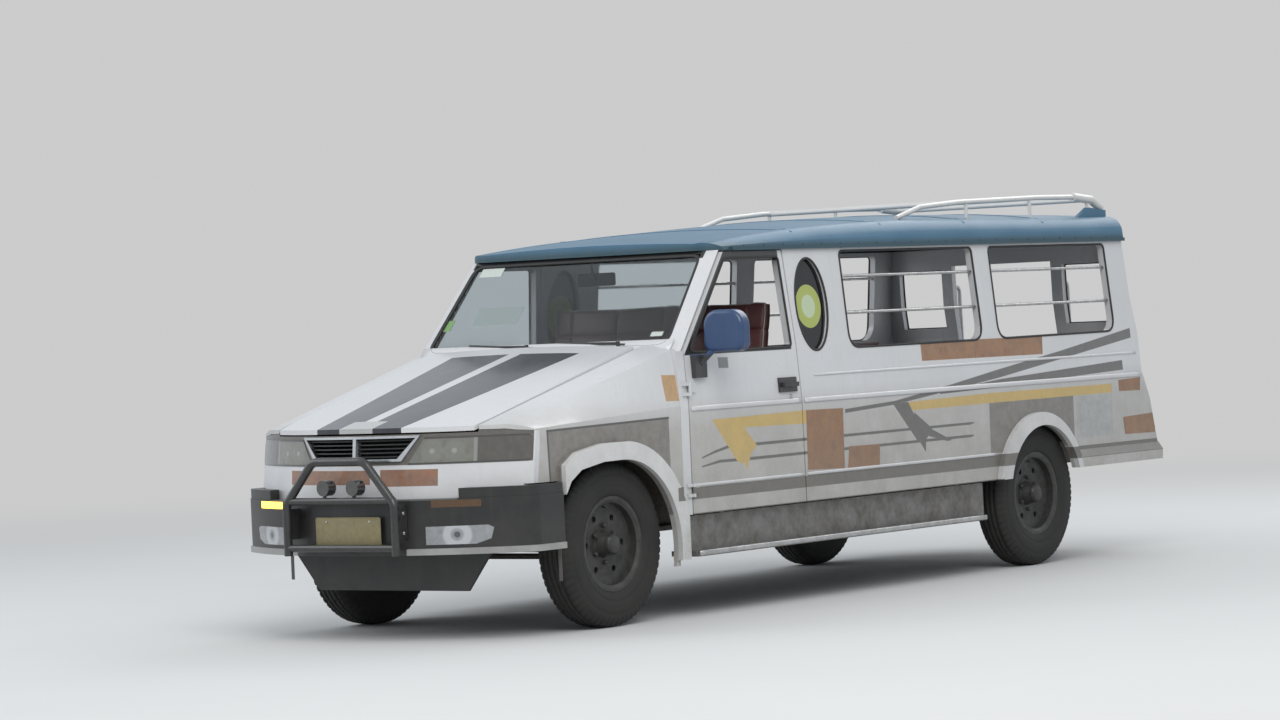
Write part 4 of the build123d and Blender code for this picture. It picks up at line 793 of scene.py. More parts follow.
def piece(name, shape, look, body="body", smooth=True, mirrored=False):
    """One mesh object riding on a body, from a shape or a list of shapes; mirrored is on the right."""
    verts, faces = merge(*shape) if isinstance(shape, list) else shape
    if mirrored:
        verts = [(-v[0], v[1], v[2]) for v in verts]
        faces = [tuple(reversed(f)) for f in faces]
    mesh = bpy.data.meshes.new(name)
    mesh.from_pydata([(v[0] - SIDE, v[1], v[2]) for v in verts], [], faces)
    mesh.update()
    for polygon in mesh.polygons:
        polygon.use_smooth = smooth
    mesh.materials.append(paints[look])
    obj = bpy.data.objects.new(name, mesh)
    bpy.context.scene.collection.objects.link(obj)
    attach(obj, body)
    return obj


def both(name, shape, look, body="body"):
    """A piece on the left and its mirror image on the right; {} in the body's name is the side."""
    for word, mirrored in SIDES:
        piece(f"{name}_{word}", shape, look, body.format(word), mirrored=mirrored)


def circle(radius, count=12):
    """The corners of a regular polygon round the origin."""
    angles = [2 * math.pi * k / count for k in range(count)]
    return [(radius * math.cos(a), radius * math.sin(a)) for a in angles]


def rectangle(half_wide, half_high):
    """The corners of a rectangle round the origin."""
    return [(-half_wide, -half_high), (half_wide, -half_high),
            (half_wide, half_high), (-half_wide, half_high)]


def bead(width, height):
    """A half-round section lying on a surface."""
    return [(0.0, -width / 2), (height * 0.7, -width * 0.42), (height, -width * 0.2),
            (height, width * 0.2), (height * 0.7, width * 0.42), (0.0, width / 2)]


def bend(start, corner, end, share):
    """A point of the curve that rounds a corner."""
    return start * (1 - share) ** 2 + corner * 2 * share * (1 - share) + end * share * share


def rounded(points, radius, steps=6):
    """A closed outline with its corners rounded, as 2-D points; radius may be one for each corner."""
    result = []
    count = len(points)
    radii = radius if isinstance(radius, tuple) else [radius] * count
    for i in range(count):
        p, a, b = Vector(points[i]), Vector(points[i - 1]), Vector(points[(i + 1) % count])
        u, v = (a - p).normalized(), (b - p).normalized()
        half = math.acos(max(-1.0, min(1.0, u.dot(v)))) / 2
        reach = min(radii[i] / math.tan(half), (a - p).length * 0.45, (b - p).length * 0.45)
        result += [bend(p + u * reach, p, p + v * reach, k / steps) for k in range(steps + 1)]
    return result


def denser(points, step=0.08):
    """The same closed outline with more points on its long runs."""
    result = []
    for i, p in enumerate(points):
        q = points[(i + 1) % len(points)]
        cuts = max(1, int((q - p).length / step))
        result += [p + (q - p) * k / cuts for k in range(cuts)]
    return result


def sweep(path, section, out, closed=False):
    """A closed section of (outwards, across) points carried along a path."""
    count, size = len(path), len(section)
    verts, faces = [], []
    for i, point in enumerate(path):
        point = Vector(point)
        ahead = Vector(path[(i + 1) % count]) if closed or i < count - 1 else point
        behind = Vector(path[i - 1]) if closed or i > 0 else point
        tangent = (ahead - behind).normalized()
        away = Vector(out[i] if isinstance(out, list) else out)
        away = (away - tangent * away.dot(tangent)).normalized()
        across = tangent.cross(away)
        verts += [point + away * a + across * b for a, b in section]
    for i in range(count if closed else count - 1):
        j = (i + 1) % count
        for k in range(size):
            m = (k + 1) % size
            faces.append((i * size + k, i * size + m, j * size + m, j * size + k))
    if not closed:
        faces.append(tuple(range(size))[::-1])
        faces.append(tuple((count - 1) * size + k for k in range(size)))
    return verts, faces


def tube(points, radius, sides=12, bends=0.03):
    """A round tube through points with rounded bends."""
    points = [Vector(p) for p in points]
    run = [points[0]]
    for before, corner, after in zip(points, points[1:], points[2:]):
        a = corner + (before - corner).normalized() * min(bends, (before - corner).length * 0.45)
        b = corner + (after - corner).normalized() * min(bends, (after - corner).length * 0.45)
        run += [bend(a, corner, b, k / 6) for k in range(7)]
    run.append(points[-1])
    ahead = (run[1] - run[0]).normalized()
    away = Vector((1, 0, 0)) if abs(ahead.x) < 0.9 else Vector((0, 0, 1))
    return sweep(run, circle(radius, sides), tuple(away))


def revolve(profile, count=48, axis="X"):
    """A surface of revolution of (along, radius) points."""
    verts, faces = [], []
    size = len(profile)
    for i in range(count):
        angle = 2 * math.pi * i / count
        c, s = math.cos(angle), math.sin(angle)
        for along, radius in profile:
            places = {
                "X": (along, radius * c, radius * s),
                "Y": (radius * s, along, radius * c),
                "Z": (radius * c, radius * s, along),
            }
            verts.append(Vector(places[axis]))
    for i in range(count):
        j = (i + 1) % count
        for k in range(size - 1):
            faces.append((i * size + k, j * size + k, j * size + k + 1, i * size + k + 1))
    return verts, faces


def turned(profile, place, axis="Z", sides=28):
    """A surface of revolution moved to its place."""
    return moved(revolve(profile, sides, axis), Matrix.Translation(place))


def slab(outline, place, thick):
    """A flat plate from a 2-D outline; place turns (u, v, w) into a point."""
    count = len(outline)
    verts = [place(p[0], p[1], w) for w in (0.0, thick) for p in outline]
    faces = [tuple(range(count))[::-1], tuple(range(count, 2 * count))]
    faces += [(k, (k + 1) % count, count + (k + 1) % count, count + k) for k in range(count)]
    return verts, faces


def soft_box(low, high, radius=0.004, steps=2):
    """A box with rounded edges, as a small superellipsoid grid."""
    low, high = Vector(low), Vector(high)
    centre, half = (low + high) / 2, (high - low) / 2
    r = min(radius, min(half) * 0.98)
    marks = []
    for axis in range(3):
        inner = half[axis] - r
        marks.append(
            [-half[axis]] + [-inner - r * math.cos(math.pi / 2 * k / steps) for k in range(1, steps)]
            + [-inner, inner] + [inner + r * math.sin(math.pi / 2 * k / steps) for k in range(1, steps)]
            + [half[axis]]
        )
    index, verts, faces = {}, [], []

    def vertex(point):
        key = tuple(round(c, 7) for c in point)
        if key not in index:
            core = Vector([max(-(half[a] - r), min(half[a] - r, point[a])) for a in range(3)])
            away = Vector(point) - core
            place = core + away.normalized() * r if away.length > 1e-9 else Vector(point)
            index[key] = len(verts)
            verts.append(centre + place)
        return index[key]

    for axis in range(3):
        u, v = [a for a in range(3) if a != axis]
        for sign in (-1, 1):
            for a0, a1 in zip(marks[u], marks[u][1:]):
                for b0, b1 in zip(marks[v], marks[v][1:]):
                    corner = []
                    for a, b in ((a0, b0), (a1, b0), (a1, b1), (a0, b1)):
                        point = [0.0, 0.0, 0.0]
                        point[axis], point[u], point[v] = sign * half[axis], a, b
                        corner.append(vertex(point))
                    turn = sign if axis != 1 else -sign
                    faces.append(tuple(corner) if turn > 0 else tuple(reversed(corner)))
    return verts, faces


def box(xs, stations, zs, radius=0.004, steps=2):
    """A box with rounded edges between two widths, two stations and two heights."""
    low, high = zip(xs, map(st, stations), zs)
    return soft_box(low, high, radius, steps)


def bolt(centre, normal, radius=0.006, height=0.004):
    """A domed hexagonal head on a surface."""
    turn = Vector(normal).to_track_quat("Z", "Y").to_matrix().to_4x4()
    verts, faces = [], []
    for r, z in ((radius, 0.0), (radius, height * 0.8), (radius * 0.78, height)):
        verts += [Vector((x, y, z)) for x, y in circle(r, 6)]
    for i in range(2):
        for k in range(6):
            m = (k + 1) % 6
            faces.append((i * 6 + k, i * 6 + m, i * 6 + 6 + m, i * 6 + 6 + k))
    faces.append(tuple(range(12, 18)))
    return moved((verts, faces), Matrix.Translation(Vector(centre)) @ turn)


# Tyres with ribs, grooves and shoulder lugs


def tyre_shape(pitches=64):
    """A tyre about X, its tread cut by four grooves and by notches at both shoulders."""
    half = [
        (0.0605, 0.2055), (0.066, 0.2225), (0.0762, 0.2230), (0.0835, 0.2360), (0.0880, 0.2500),
        (0.0905, 0.2620), (0.0890, 0.2650), (0.0915, 0.2690), (0.0920, 0.2850), (0.0918, 0.3050),
        (0.0905, 0.3200), (0.0880, 0.3240), (0.0885, 0.3300), (0.0865, 0.3450), (0.0830, 0.3560),
    ]
    tread = []
    for x, depth in (
        (0.0750, 0), (0.0660, 0), (0.0560, 0), (0.0470, 0), (0.0455, 1), (0.0390, 1), (0.0375, 0),
        (0.0270, 0), (0.0185, 0), (0.0170, 1), (0.0110, 1), (0.0095, 0), (0.0, 0),
    ):
        crown = TYRE_RADIUS if x < 0.030 else TYRE_RADIUS - 0.004 * (x - 0.030) / 0.034
        if x > 0.064:
            crown = 0.383 - 0.027 * (x - 0.064) / 0.019
        tread.append((x, crown - 0.009 * depth))
    right = half + tread
    line = [(x, r, i) for i, (x, r) in enumerate(right)]
    line += [(-x, r, i) for i, (x, r) in reversed(list(enumerate(right[:-1])))]
    verts, faces = [], []
    shoulder = len(half)
    rows = pitches * 4
    for i in range(rows):
        angle = 2 * math.pi * i / rows
        c, s = math.cos(angle), math.sin(angle)
        for x, r, k in line:
            if i % 4 == 0 and shoulder - 2 <= k <= shoulder + 2:
                r -= 0.008
            if i % 8 == 3 and shoulder + 6 <= k <= shoulder + 8:
                r -= 0.005
            verts.append(Vector((x, r * c, r * s)))
    size = len(line)
    for i in range(rows):
        j = (i + 1) % rows
        for k in range(size):
            m = (k + 1) % size
            faces.append((i * size + k, j * size + k, j * size + m, i * size + m))
    return verts, faces


def wheel_dress():
    """Nuts, hub cap, valve and the balance weight of a wheel, outside towards +X."""
    parts = []
    for k in range(6):
        angle = math.pi / 3 * k + math.pi / 6
        place = (0.0215, 0.085 * math.cos(angle), 0.085 * math.sin(angle))
        parts.append(bolt(place, (1, 0, 0), 0.0115, 0.017))
    cap = [(0.060, 0.0485), (0.074, 0.0470), (0.084, 0.0430), (0.090, 0.0340), (0.092, 0.0180),
           (0.0925, 0.0005)]
    parts.append(revolve(cap, 32))
    parts.append(revolve([(0.015, 0.104), (0.0185, 0.1045), (0.0185, 0.0995), (0.015, 0.099)], 48))
    stem = [(0.020, 0, 0.176), (0.034, 0, 0.170), (0.050, 0, 0.166)]
    parts.append(sweep(stem, circle(0.0035, 8), (0, 1, 0)))
    return merge(*parts)


tyre = tyre_shape()
wheel_trim = wheel_dress()
for end in ("front_left", "front_right", "rear_left", "rear_right"):
    side = 1 if end.endswith("left") else -1
    station = FRONT_AXLE if end.startswith("front") else REAR_AXLE
    place = Matrix.Translation((side * WHEEL_PLANE, st(station), TYRE_RADIUS))
    if side < 0:
        place = place @ Matrix.Rotation(math.pi, 4, "Z")
    body = f"wheel_{end}_body"
    obj = piece("Tyre_" + end, moved(tyre, place), "tyre", body)
    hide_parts("tyre_" + end)
    piece("Wheel_trim_" + end, moved(wheel_trim, place), "wheel", body)

# Rubber round the glass and the window openings

glass_foot = Vector((0, 1.411, 1.275))
glass_top = Vector((0, 1.817, 1.745))
glass_rise = (glass_top - glass_foot).normalized()
glass_normal = Vector((0, -glass_rise.z, glass_rise.y))


def windshield_point(x, up, lift=0.0):
    """A point of the windshield plane, by width and by length up from its foot."""
    point = glass_foot + glass_rise * up + glass_normal * lift
    return Vector((x, st(point.y), point.z))


head = math.dist((1.411, 1.275), (1.817, 1.745)) - 0.030
outline = denser(rounded([(-0.745, 0.022), (0.745, 0.022), (0.700, head), (-0.700, head)], 0.07, 8))
path = [windshield_point(p.x, p.y, -0.006) for p in outline]
seal = [(-0.001, -0.015), (0.006, -0.011), (0.008, -0.004), (0.006, 0.005), (0.0, 0.009)]
shape = sweep(path, seal, tuple(glass_normal), closed=True)
piece("Windshield_rubber", shape, "rubber")
strip = [(0.0005, -0.034), (0.0018, -0.033), (0.0018, 0.033), (0.0005, 0.034)]
path = [windshield_point(-0.775 + 1.55 * k / 24, 0.026) for k in range(25)]
piece("Windshield_foot_strip", sweep(path, strip, tuple(glass_normal)), "white")

gasket = [(-0.004, -0.005), (0.001, -0.006), (0.0035, -0.003), (0.0035, 0.003), (0.001, 0.006),
          (-0.004, 0.005)]


def side_rubber(name, outline, body="body"):
    """A rubber seal along a window's outline on both sides."""
    path = [on_side(p.x, p.y, 0.001) for p in outline]
    both(name, sweep(path, gasket, (1, 0, 0.08), closed=True), "rubber", body)


side_windows = (
    ((2.862, 1.231), (4.1143, 1.231), (4.1043, 1.718), (2.860, 1.718)),
    ((4.2733, 1.231), (5.487, 1.236), (5.477, 1.718), (4.2713, 1.718)),
)
for number, window in enumerate(side_windows, 1):
    side_rubber(f"Window_rubber_{number}", denser(rounded(window, (0.085, 0.085, 0.030, 0.030), 8)))
oval = []
for k in range(56):
    angle = 2 * math.pi * k / 56
    oval.append(Vector((2.565 + 0.136 * math.cos(angle), 1.457 + 0.229 * math.sin(angle))))
side_rubber("Oval_rubber", oval)
slope = (1.817 - 1.411) / (1.745 - 1.275)
door_window = [(1.495, 1.252), (2.349, 1.252), (2.323, 1.698), (1.455 + slope * 0.446 + 0.032, 1.698)]
side_rubber("Door_window_rubber", denser(rounded(door_window, 0.024, 4)), "door_{}_body")

# Mouldings along the sides

for name, start, end, height, width, rise, body, steps in (
    ("Belt_moulding_door", 1.468, 2.382, 0.986, 0.026, 0.007, "door_{}_body", 24),
    ("Belt_moulding_side", 2.412, 5.715, 0.986, 0.026, 0.007, "body", 60),
    ("Upper_moulding_side", 2.52, 5.69, 1.108, 0.014, 0.005, "body", 60),
    ("Lower_moulding_door", 1.468, 2.388, 0.622, 0.016, 0.005, "door_{}_body", 24),
    ("Lower_moulding_side", 2.416, 4.18, 0.622, 0.016, 0.005, "body", 40),
):
    path = [on_side(start + (end - start) * k / steps, height) for k in range(steps + 1)]
    both(name, sweep(path, bead(width, rise), (1, 0, 0)), "white", body)

# Step boards' bright edges, with rivets

strip = [(0.0, -0.012), (0.0045, -0.0115), (0.006, -0.006), (0.006, 0.006), (0.0045, 0.0115),
         (0.0, 0.012)]
path = [(0.8625, st(1.455 + 2.555 * k / 30), 0.3005) for k in range(31)]
both("Step_edge", sweep(path, strip, (1, 0, 0)), "aluminium")
rivets = [bolt((0.868, st(1.50 + 0.2 * k), 0.3005), (1, 0, 0), 0.0035, 0.002) for k in range(13)]
both("Step_rivets", rivets, "steel")

# Front number plate: a sheet with a raised rim

plate = merge(
    box((-0.195, 0.195), (-0.0925, -0.0890), (0.440, 0.580), 0.0015),
    box((-0.195, -0.190), (-0.0935, -0.0920), (0.440, 0.580), 0.0007),
    box((0.190, 0.195), (-0.0935, -0.0920), (0.440, 0.580), 0.0007),
    box((-0.195, 0.195), (-0.0935, -0.0920), (0.575, 0.580), 0.0007),
    box((-0.195, 0.195), (-0.0935, -0.0920), (0.440, 0.445), 0.0007),
)
piece("Front_plate", moved(plate, Matrix.Translation((0.02, 0, 0))), "plate")
bolts = [bolt((x, st(-0.0925), 0.560), (0, -1, 0), 0.006, 0.003) for x in (-0.11, 0.15)]
piece("Front_plate_bolts", bolts, "steel")

# Upholstery: crowned pads with sewn channels and piping, in the places of the plain CAD cushions


def marks(count, sewn, length):
    """Places from 0 to 1, closer together at each sewn channel."""
    result = {round(k / count, 6) for k in range(count + 1)}
    for place in sewn:
        for shift in (-0.016, -0.008, -0.003, 0.0, 0.003, 0.008, 0.016):
            result.add(round(min(1.0, max(0.0, place + shift / length)), 6))
    return sorted(result)


def pad(low, high, sewn_x=(), sewn_y=(), crown=0.018, edge=0.022, seed=0):
    """A closed pad between two corners, crowned upwards, its sides pulled in between the corners."""
    pull, groove, step = 0.008, 0.009, 0.04
    low, high = Vector(low), Vector(high)
    size = high - low
    us = marks(max(6, int(size.x / step)), sewn_x, size.x)
    vs = marks(max(4, int(size.y / step)), sewn_y, size.y)
    n, m = len(us) - 1, len(vs) - 1
    channels = [(0, place, size.x) for place in sewn_x] + [(1, place, size.y) for place in sewn_y]
    verts, faces = [], []

    def plan(u, v):
        x = low.x + edge + (size.x - 2 * edge) * u + pull * math.sin(math.pi * v) * (1 - 2 * u)
        y = low.y + edge + (size.y - 2 * edge) * v + pull * math.sin(math.pi * u) * (1 - 2 * v)
        return x, y

    def near(uv, reach, axes=(0, 1)):
        """1 on each sewn channel across the given axes, falling off over a reach."""
        return [
            math.exp(-((uv[axis] - place) * length / reach) ** 2)
            for axis, place, length in channels if axis in axes
        ]

    def top(u, v):
        swell = (max(0.0, math.sin(math.pi * u)) * max(0.0, math.sin(math.pi * v))) ** 0.45
        for share in near((u, v), 0.06):
            swell -= 0.30 * share * swell
        cut = max(near((u, v), 0.0075), default=0.0)
        crease = mathutils_noise.noise(Vector((u * size.x * 9, v * size.y * 9, seed + 0.5)))
        return high.z - crown + crown * swell - groove * cut + 0.0022 * crease * swell

    def grid(height, known, up):
        """A sheet of faces over the plan, on the known border vertices and on new ones."""
        for i, u in enumerate(us):
            for j, v in enumerate(vs):
                if (i, j) not in known:
                    known[i, j] = len(verts)
                    verts.append(Vector((*plan(u, v), height(u, v))))
        for i in range(n):
            for j in range(m):
                p, q, r, s = known[i, j], known[i + 1, j], known[i + 1, j + 1], known[i, j + 1]
                faces.append((p, q, r, s) if up else (p, s, r, q))
        return known

    places = grid(top, {}, True)
    border = [(i, 0) for i in range(n)] + [(n, j) for j in range(m)]
    border += [(i, m) for i in range(n, 0, -1)] + [(0, j) for j in range(m, 0, -1)]
    loops = [[places[key] for key in border]]
    shoulder = high.z - crown - edge
    profile = []
    for k in range(1, 5):
        angle = math.pi / 2 * k / 4
        profile.append((edge * math.sin(angle), high.z - crown - edge * (1 - math.cos(angle))))
    for k in range(1, 6):
        share = k / 5
        z = shoulder + (low.z + 0.004 - shoulder) * share
        profile.append((edge - 0.004 * math.sin(math.pi * share), z))
    profile.append((edge - 0.004, low.z))
    for out, z in profile:
        ring = []
        for i, j in border:
            x, y = plan(us[i], vs[j])
            away = Vector(((i == n) - (i == 0), (j == m) - (j == 0), 0)).normalized()
            axes = [0] * (j in (0, m)) + [1] * (i in (0, n))
            cut = max(near((us[i], vs[j]), 0.0075, axes), default=0.0)
            ring.append(len(verts))
            verts.append(Vector((x, y, z)) + away * (out - 0.35 * groove * cut))
        loops.append(ring)
    for upper, lower in zip(loops, loops[1:]):
        for k in range(len(border)):
            p = (k + 1) % len(border)
            faces.append((upper[k], lower[k], lower[p], upper[p]))
    grid(lambda u, v: low.z, dict(zip(border, loops[-1])), False)
    seam = [verts[k] for k in loops[3]]
    away = [Vector(((i == n) - (i == 0), (j == m) - (j == 0), 0.8)).normalized() for i, j in border]
    cord = [(a + 0.001, b) for a, b in circle(0.0035, 6)]
    return (verts, faces), sweep(seam, cord, away, closed=True)


def seat_pad(name, low, high, node, place=Matrix.Identity(4), mirrored=False, **form):
    """A pad with its piping, in the place of a plain CAD cushion."""
    shape, piping = pad(low, high, **form)
    obj = piece(name, moved(shape, place), "vinyl", mirrored=mirrored)
    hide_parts(node)
    piece(name + "_piping", moved(piping, place), "piping", mirrored=mirrored)


bench_channels = tuple(k / 7 for k in range(1, 7))
# the backs are made lying flat, and these stand them up against their frames
back_lean = Vector((0.0997, 0.6397)).normalized()
front_back = Matrix((
    (1, 0, 0, 0), (0, back_lean.x, -back_lean.y, st(2.3303)), (0, back_lean.y, back_lean.x, 0.8503),
    (0, 0, 0, 1),
))
bench_back = Matrix((
    (0, -0.0702, -0.9975, 0.7943), (-1, 0, 0, st(5.500)), (0, 0.9975, -0.0702, 1.0660), (0, 0, 0, 1),
))
for name, low, high, sewn, seed in (
    ("Driver", 0.150, 0.610, (0.2, 0.8), 1), ("Passenger", -0.720, 0.100, (0.12, 0.5, 0.88), 2),
):
    seat_pad(name + "_cushion", (low, st(1.890), 0.8505), (high, st(2.330), 0.9655), "seat_cushions",
             sewn_x=sewn, sewn_y=(0.35, 0.68), crown=0.022, seed=seed)
    seat_pad(name + "_back", (low + 0.005, 0.013, -0.074), (high - 0.005, 0.640, 0.004), "seat_backs",
             front_back, sewn_x=sewn, sewn_y=(0.3, 0.55, 0.8), crown=0.020, edge=0.020, seed=5)
for word, mirrored in SIDES:
    seat_pad("Bench_cushion_" + word, (0.370, st(2.560), 0.9805), (0.772, st(5.500), 1.0690),
             "seat_cushions", mirrored=mirrored, sewn_x=(0.5,), sewn_y=bench_channels, crown=0.016,
             seed=3)
    seat_pad("Bench_back_" + word, (0.0, 0.001, 0.0005), (2.940, 0.161, 0.050), "seat_backs", bench_back,
             mirrored, sewn_x=bench_channels, crown=0.012, edge=0.013, seed=7)

# Dashboard, controls and cab fittings

piece("Instrument_hood", [
    box((0.215, 0.545), (1.500, 1.612), (1.214, 1.262), 0.018, 3),
    box((-0.020, 0.130), (1.560, 1.640), (1.212, 1.228), 0.006),
], "dash")
dials = []
for x, r in ((0.305, 0.036), (0.385, 0.028), (0.462, 0.036)):
    rim = [(0.0, 0.0001), (0.0, r * 0.86), (0.004, r * 0.9), (0.004, r), (-0.004, r)]
    dials.append(turned(rim, (x, st(1.6125), 1.236), "Y"))
piece("Dial_rims", dials, "chrome")
vents = []
for x in (-0.62, -0.16, 0.10, 0.63):
    vents.append(box((x - 0.060, x + 0.060), (1.630, 1.653), (1.100, 1.150), 0.005))
    vents += [box((x - 0.054, x + 0.054), (1.652, 1.657), (z, z + 0.004), 0.0015)
              for z in (1.107, 1.117, 1.127, 1.137)]
piece("Dash_vents", vents, "plastic")
piece("Glove_box_lid", [
    box((-0.600, -0.250), (1.628, 1.642), (1.035, 1.095), 0.006),
    box((-0.445, -0.405), (1.640, 1.648), (1.076, 1.088), 0.003),
], "dash")
knob = [(0.0, 0.011), (0.012, 0.010), (0.014, 0.008), (0.014, 0.0001)]
radio = [box((-0.110, 0.070), (1.628, 1.642), (1.045, 1.092), 0.003)]
radio += [turned(knob, (x, st(1.641), 1.068), "Y", 18) for x in (-0.090, 0.050)]
piece("Radio", radio, "plastic")
piece("Column_shroud", [
    tube([(0.38, st(1.690), 1.098), (0.47, st(1.700), 1.118), (0.545, st(1.712), 1.132)], 0.005),
    tube([(0.38, st(1.690), 1.098), (0.29, st(1.700), 1.118), (0.215, st(1.712), 1.132)], 0.005),
    box((0.340, 0.420), (1.640, 1.705), (1.035, 1.118), 0.012, 3),
], "plastic")
knob = [(-0.024, 0.0001), (-0.022, 0.010), (-0.010, 0.020), (0.006, 0.022), (0.018, 0.016),
        (0.024, 0.0001)]
boot = [(0.0, 0.062), (0.012, 0.058), (0.020, 0.044), (0.034, 0.040), (0.040, 0.030), (0.058, 0.026),
        (0.064, 0.014), (0.080, 0.010)]
piece("Gear_lever", [
    tube([(0.095, st(1.735), 0.661), (0.100, st(1.770), 0.840), (0.085, st(1.850), 0.985)], 0.008,
         bends=0.08),
    turned(knob, (0.084, st(1.853), 1.000), sides=20),
    turned(boot, (0.095, st(1.737), 0.660), sides=24),
], "plastic")
pedals = []
for x, wide in ((0.270, 0.030), (0.375, 0.032), (0.470, 0.024)):
    arm = [(x, st(1.500), 0.990), (x, st(1.500), 0.860), (x, st(1.560), 0.760)]
    pedals.append(tube(arm, 0.007, bends=0.06))
    pedals.append(box((x - wide, x + wide), (1.552, 1.566), (0.715, 0.790), 0.005))
piece("Pedals", pedals, "plastic")
piece("Inner_mirror", [
    box((-0.115, 0.115), (1.862, 1.884), (1.590, 1.655), 0.010, 3),
    tube([(0.0, st(1.864), 1.622), (0.0, st(1.835), 1.665), (0.0, st(1.835), 1.742)], 0.006),
], "plastic")
glass = slab(rounded(rectangle(0.106, 0.024), 0.008, 4),
             lambda u, v, w: Vector((-u, st(1.8842) + w, 1.6225 + v)), 0.0012)
piece("Inner_mirror_glass", glass, "mirror", smooth=False)
for word, x in (("left", 0.36), ("right", -0.36)):
    piece("Sun_visor_" + word, [
        box((x - 0.21, x + 0.21), (1.880, 2.030), (1.703, 1.717), 0.006),
        tube([(x - 0.20, st(1.884), 1.713), (x + 0.20, st(1.884), 1.713)], 0.004),
    ], "visor")
both("Door_arm_rest", [
    box((0.752, 0.7985), (1.760, 2.160), (0.985, 1.025), 0.012, 3),
    box((0.764, 0.7995), (1.560, 1.640), (0.800, 0.830), 0.008),
], "plastic", "door_{}_body")

# Passenger room: two rails under the ceiling, and hand grips at the entrance

roof_mesh = nodes["roof"].data
roof_tree = BVHTree.FromPolygons(
    [vertex.co for vertex in roof_mesh.vertices], [face.vertices for face in roof_mesh.polygons],
)


def roof_hit(start, direction):
    """Where a ray meets the roof, as a place counted from the vehicle's middle, with the normal."""
    hit = roof_tree.ray_cast(Vector((start[0] - SIDE, start[1], start[2])), Vector(direction))
    return Vector((hit[0].x + SIDE, hit[0].y, hit[0].z)), hit[1]


rail = [tube([(0.31, st(s), 1.775) for s in (2.72, 2.80, 5.45)], 0.0125)]
for k in range(5):
    y = st(2.80 + 0.65 * k)
    top = roof_hit((0.31, y, 1.79), (0, 0, 1))[0].z - 0.001
    rail.append(tube([(0.31, y, 1.775), (0.31, y, top)], 0.008))
    rail.append(turned([(0.0, 0.022), (-0.004, 0.021), (-0.005, 0.008)], (0.31, y, top), sides=16))
both("Ceiling_rail", rail, "steel")

# the rear panels' outline from the side, as stations and heights from the top down
rear_profile = (
    (5.682, 1.7377), (5.696, 1.42), (5.733, 1.225), (5.736, 1.004), (5.816, 0.85), (5.876, 0.625),
)


def rear_face(height, lift=0.0):
    """The Y of the rear panels at a height."""
    for (s_high, z_high), (s_low, z_low) in zip(rear_profile, rear_profile[1:]):
        if height >= z_low:
            break
    return st(s_high + (s_low - s_high) * (z_high - height) / (z_high - z_low) + lift)


grip = [tube([
    (0.362, rear_face(1.02), 1.02), (0.362, st(5.785), 1.03), (0.362, st(5.770), 1.52),
    (0.362, rear_face(1.53), 1.53),
], 0.011, bends=0.035)]
for z in (1.02, 1.53):
    grip.append(turned([(0.0, 0.024), (0.004, 0.023), (0.005, 0.011)], (0.362, rear_face(z), z), "Y", 16))
both("Entrance_grip", grip, "steel")

# Rear panels: number plate, lamp bezels, window rubbers and reflectors

slope = Vector((5.736 - 5.816, 1.004 - 0.85)).normalized()
plate_out = Vector((slope.y, -slope.x))


def on_rear_slope(u, v, w):
    """A place on the plate's middle: u to the left, v up the slope, w out of it."""
    y, z = Vector((st(5.776), 0.927)) + slope * v + plate_out * w
    return Vector((-0.515 + u, y, z))


plate = slab(rounded(rectangle(0.150, 0.062), 0.010, 4),
             lambda u, v, w: on_rear_slope(u, v, w + 0.0008), 0.0025)
piece("Rear_plate", plate, "plate", smooth=False)
away = (0, plate_out.x, plate_out.y)
bolts = [bolt(on_rear_slope(x, 0.046, 0.003), away, 0.006, 0.003) for x in (-0.11, 0.11)]
piece("Rear_plate_bolts", bolts, "steel")
lamp = rounded([(0.606, 1.0065), (0.724, 1.0065), (0.724, 1.184), (0.606, 1.184)], 0.006, 3)
path = [Vector((p.x, rear_face(p.y, 0.003), p.y)) for p in lamp]
both("Tail_lamp_bezel", sweep(path, circle(0.0045, 8), (0, 1, 0), closed=True), "chrome")
window = denser(rounded([(0.40, 1.285), (0.69, 1.285), (0.69, 1.62), (0.40, 1.62)], 0.012, 3))
path = [Vector((p.x, rear_face(p.y, 0.001), p.y)) for p in window]
both("Rear_window_rubber", sweep(path, gasket, (0, 1, 0.08), closed=True), "rubber")
profile = [(0.0, 0.030), (0.006, 0.029), (0.008, 0.024), (0.0085, 0.0001)]
reflector = turned(profile, (0.64, rear_face(0.70, 0.001), 0.70), "Y", 24)
both("Rear_reflector", reflector, "red_lens")

# Roof: cross seams and rivets along the gutters

seams = []
for station in (2.50, 3.30, 4.10, 4.90):
    hits = [roof_hit((-0.745 + 1.49 * k / 36, st(station), 3.0), (0, 0, -1)) for k in range(37)]
    points, normals = zip(*hits)
    seams.append(sweep(list(points), bead(0.014, 0.003), [tuple(normal) for normal in normals]))
piece("Roof_seams", seams, "roof")
rivets = []
for k in range(22):
    point = roof_hit((1.6, st(2.05 + 0.165 * k), 1.758), (-1, 0, 0))[0]
    rivets.append(bolt(point, (1, 0, 0), 0.005, 0.0025))
both("Gutter_rivets", rivets, "roof")

# Outside fittings


def on_mirror(u, v, w=0.0):
    """A place on the outside mirror's glass, which faces the rear."""
    return Vector((0.980 - u, st(1.6302) + w, 1.350 + v))


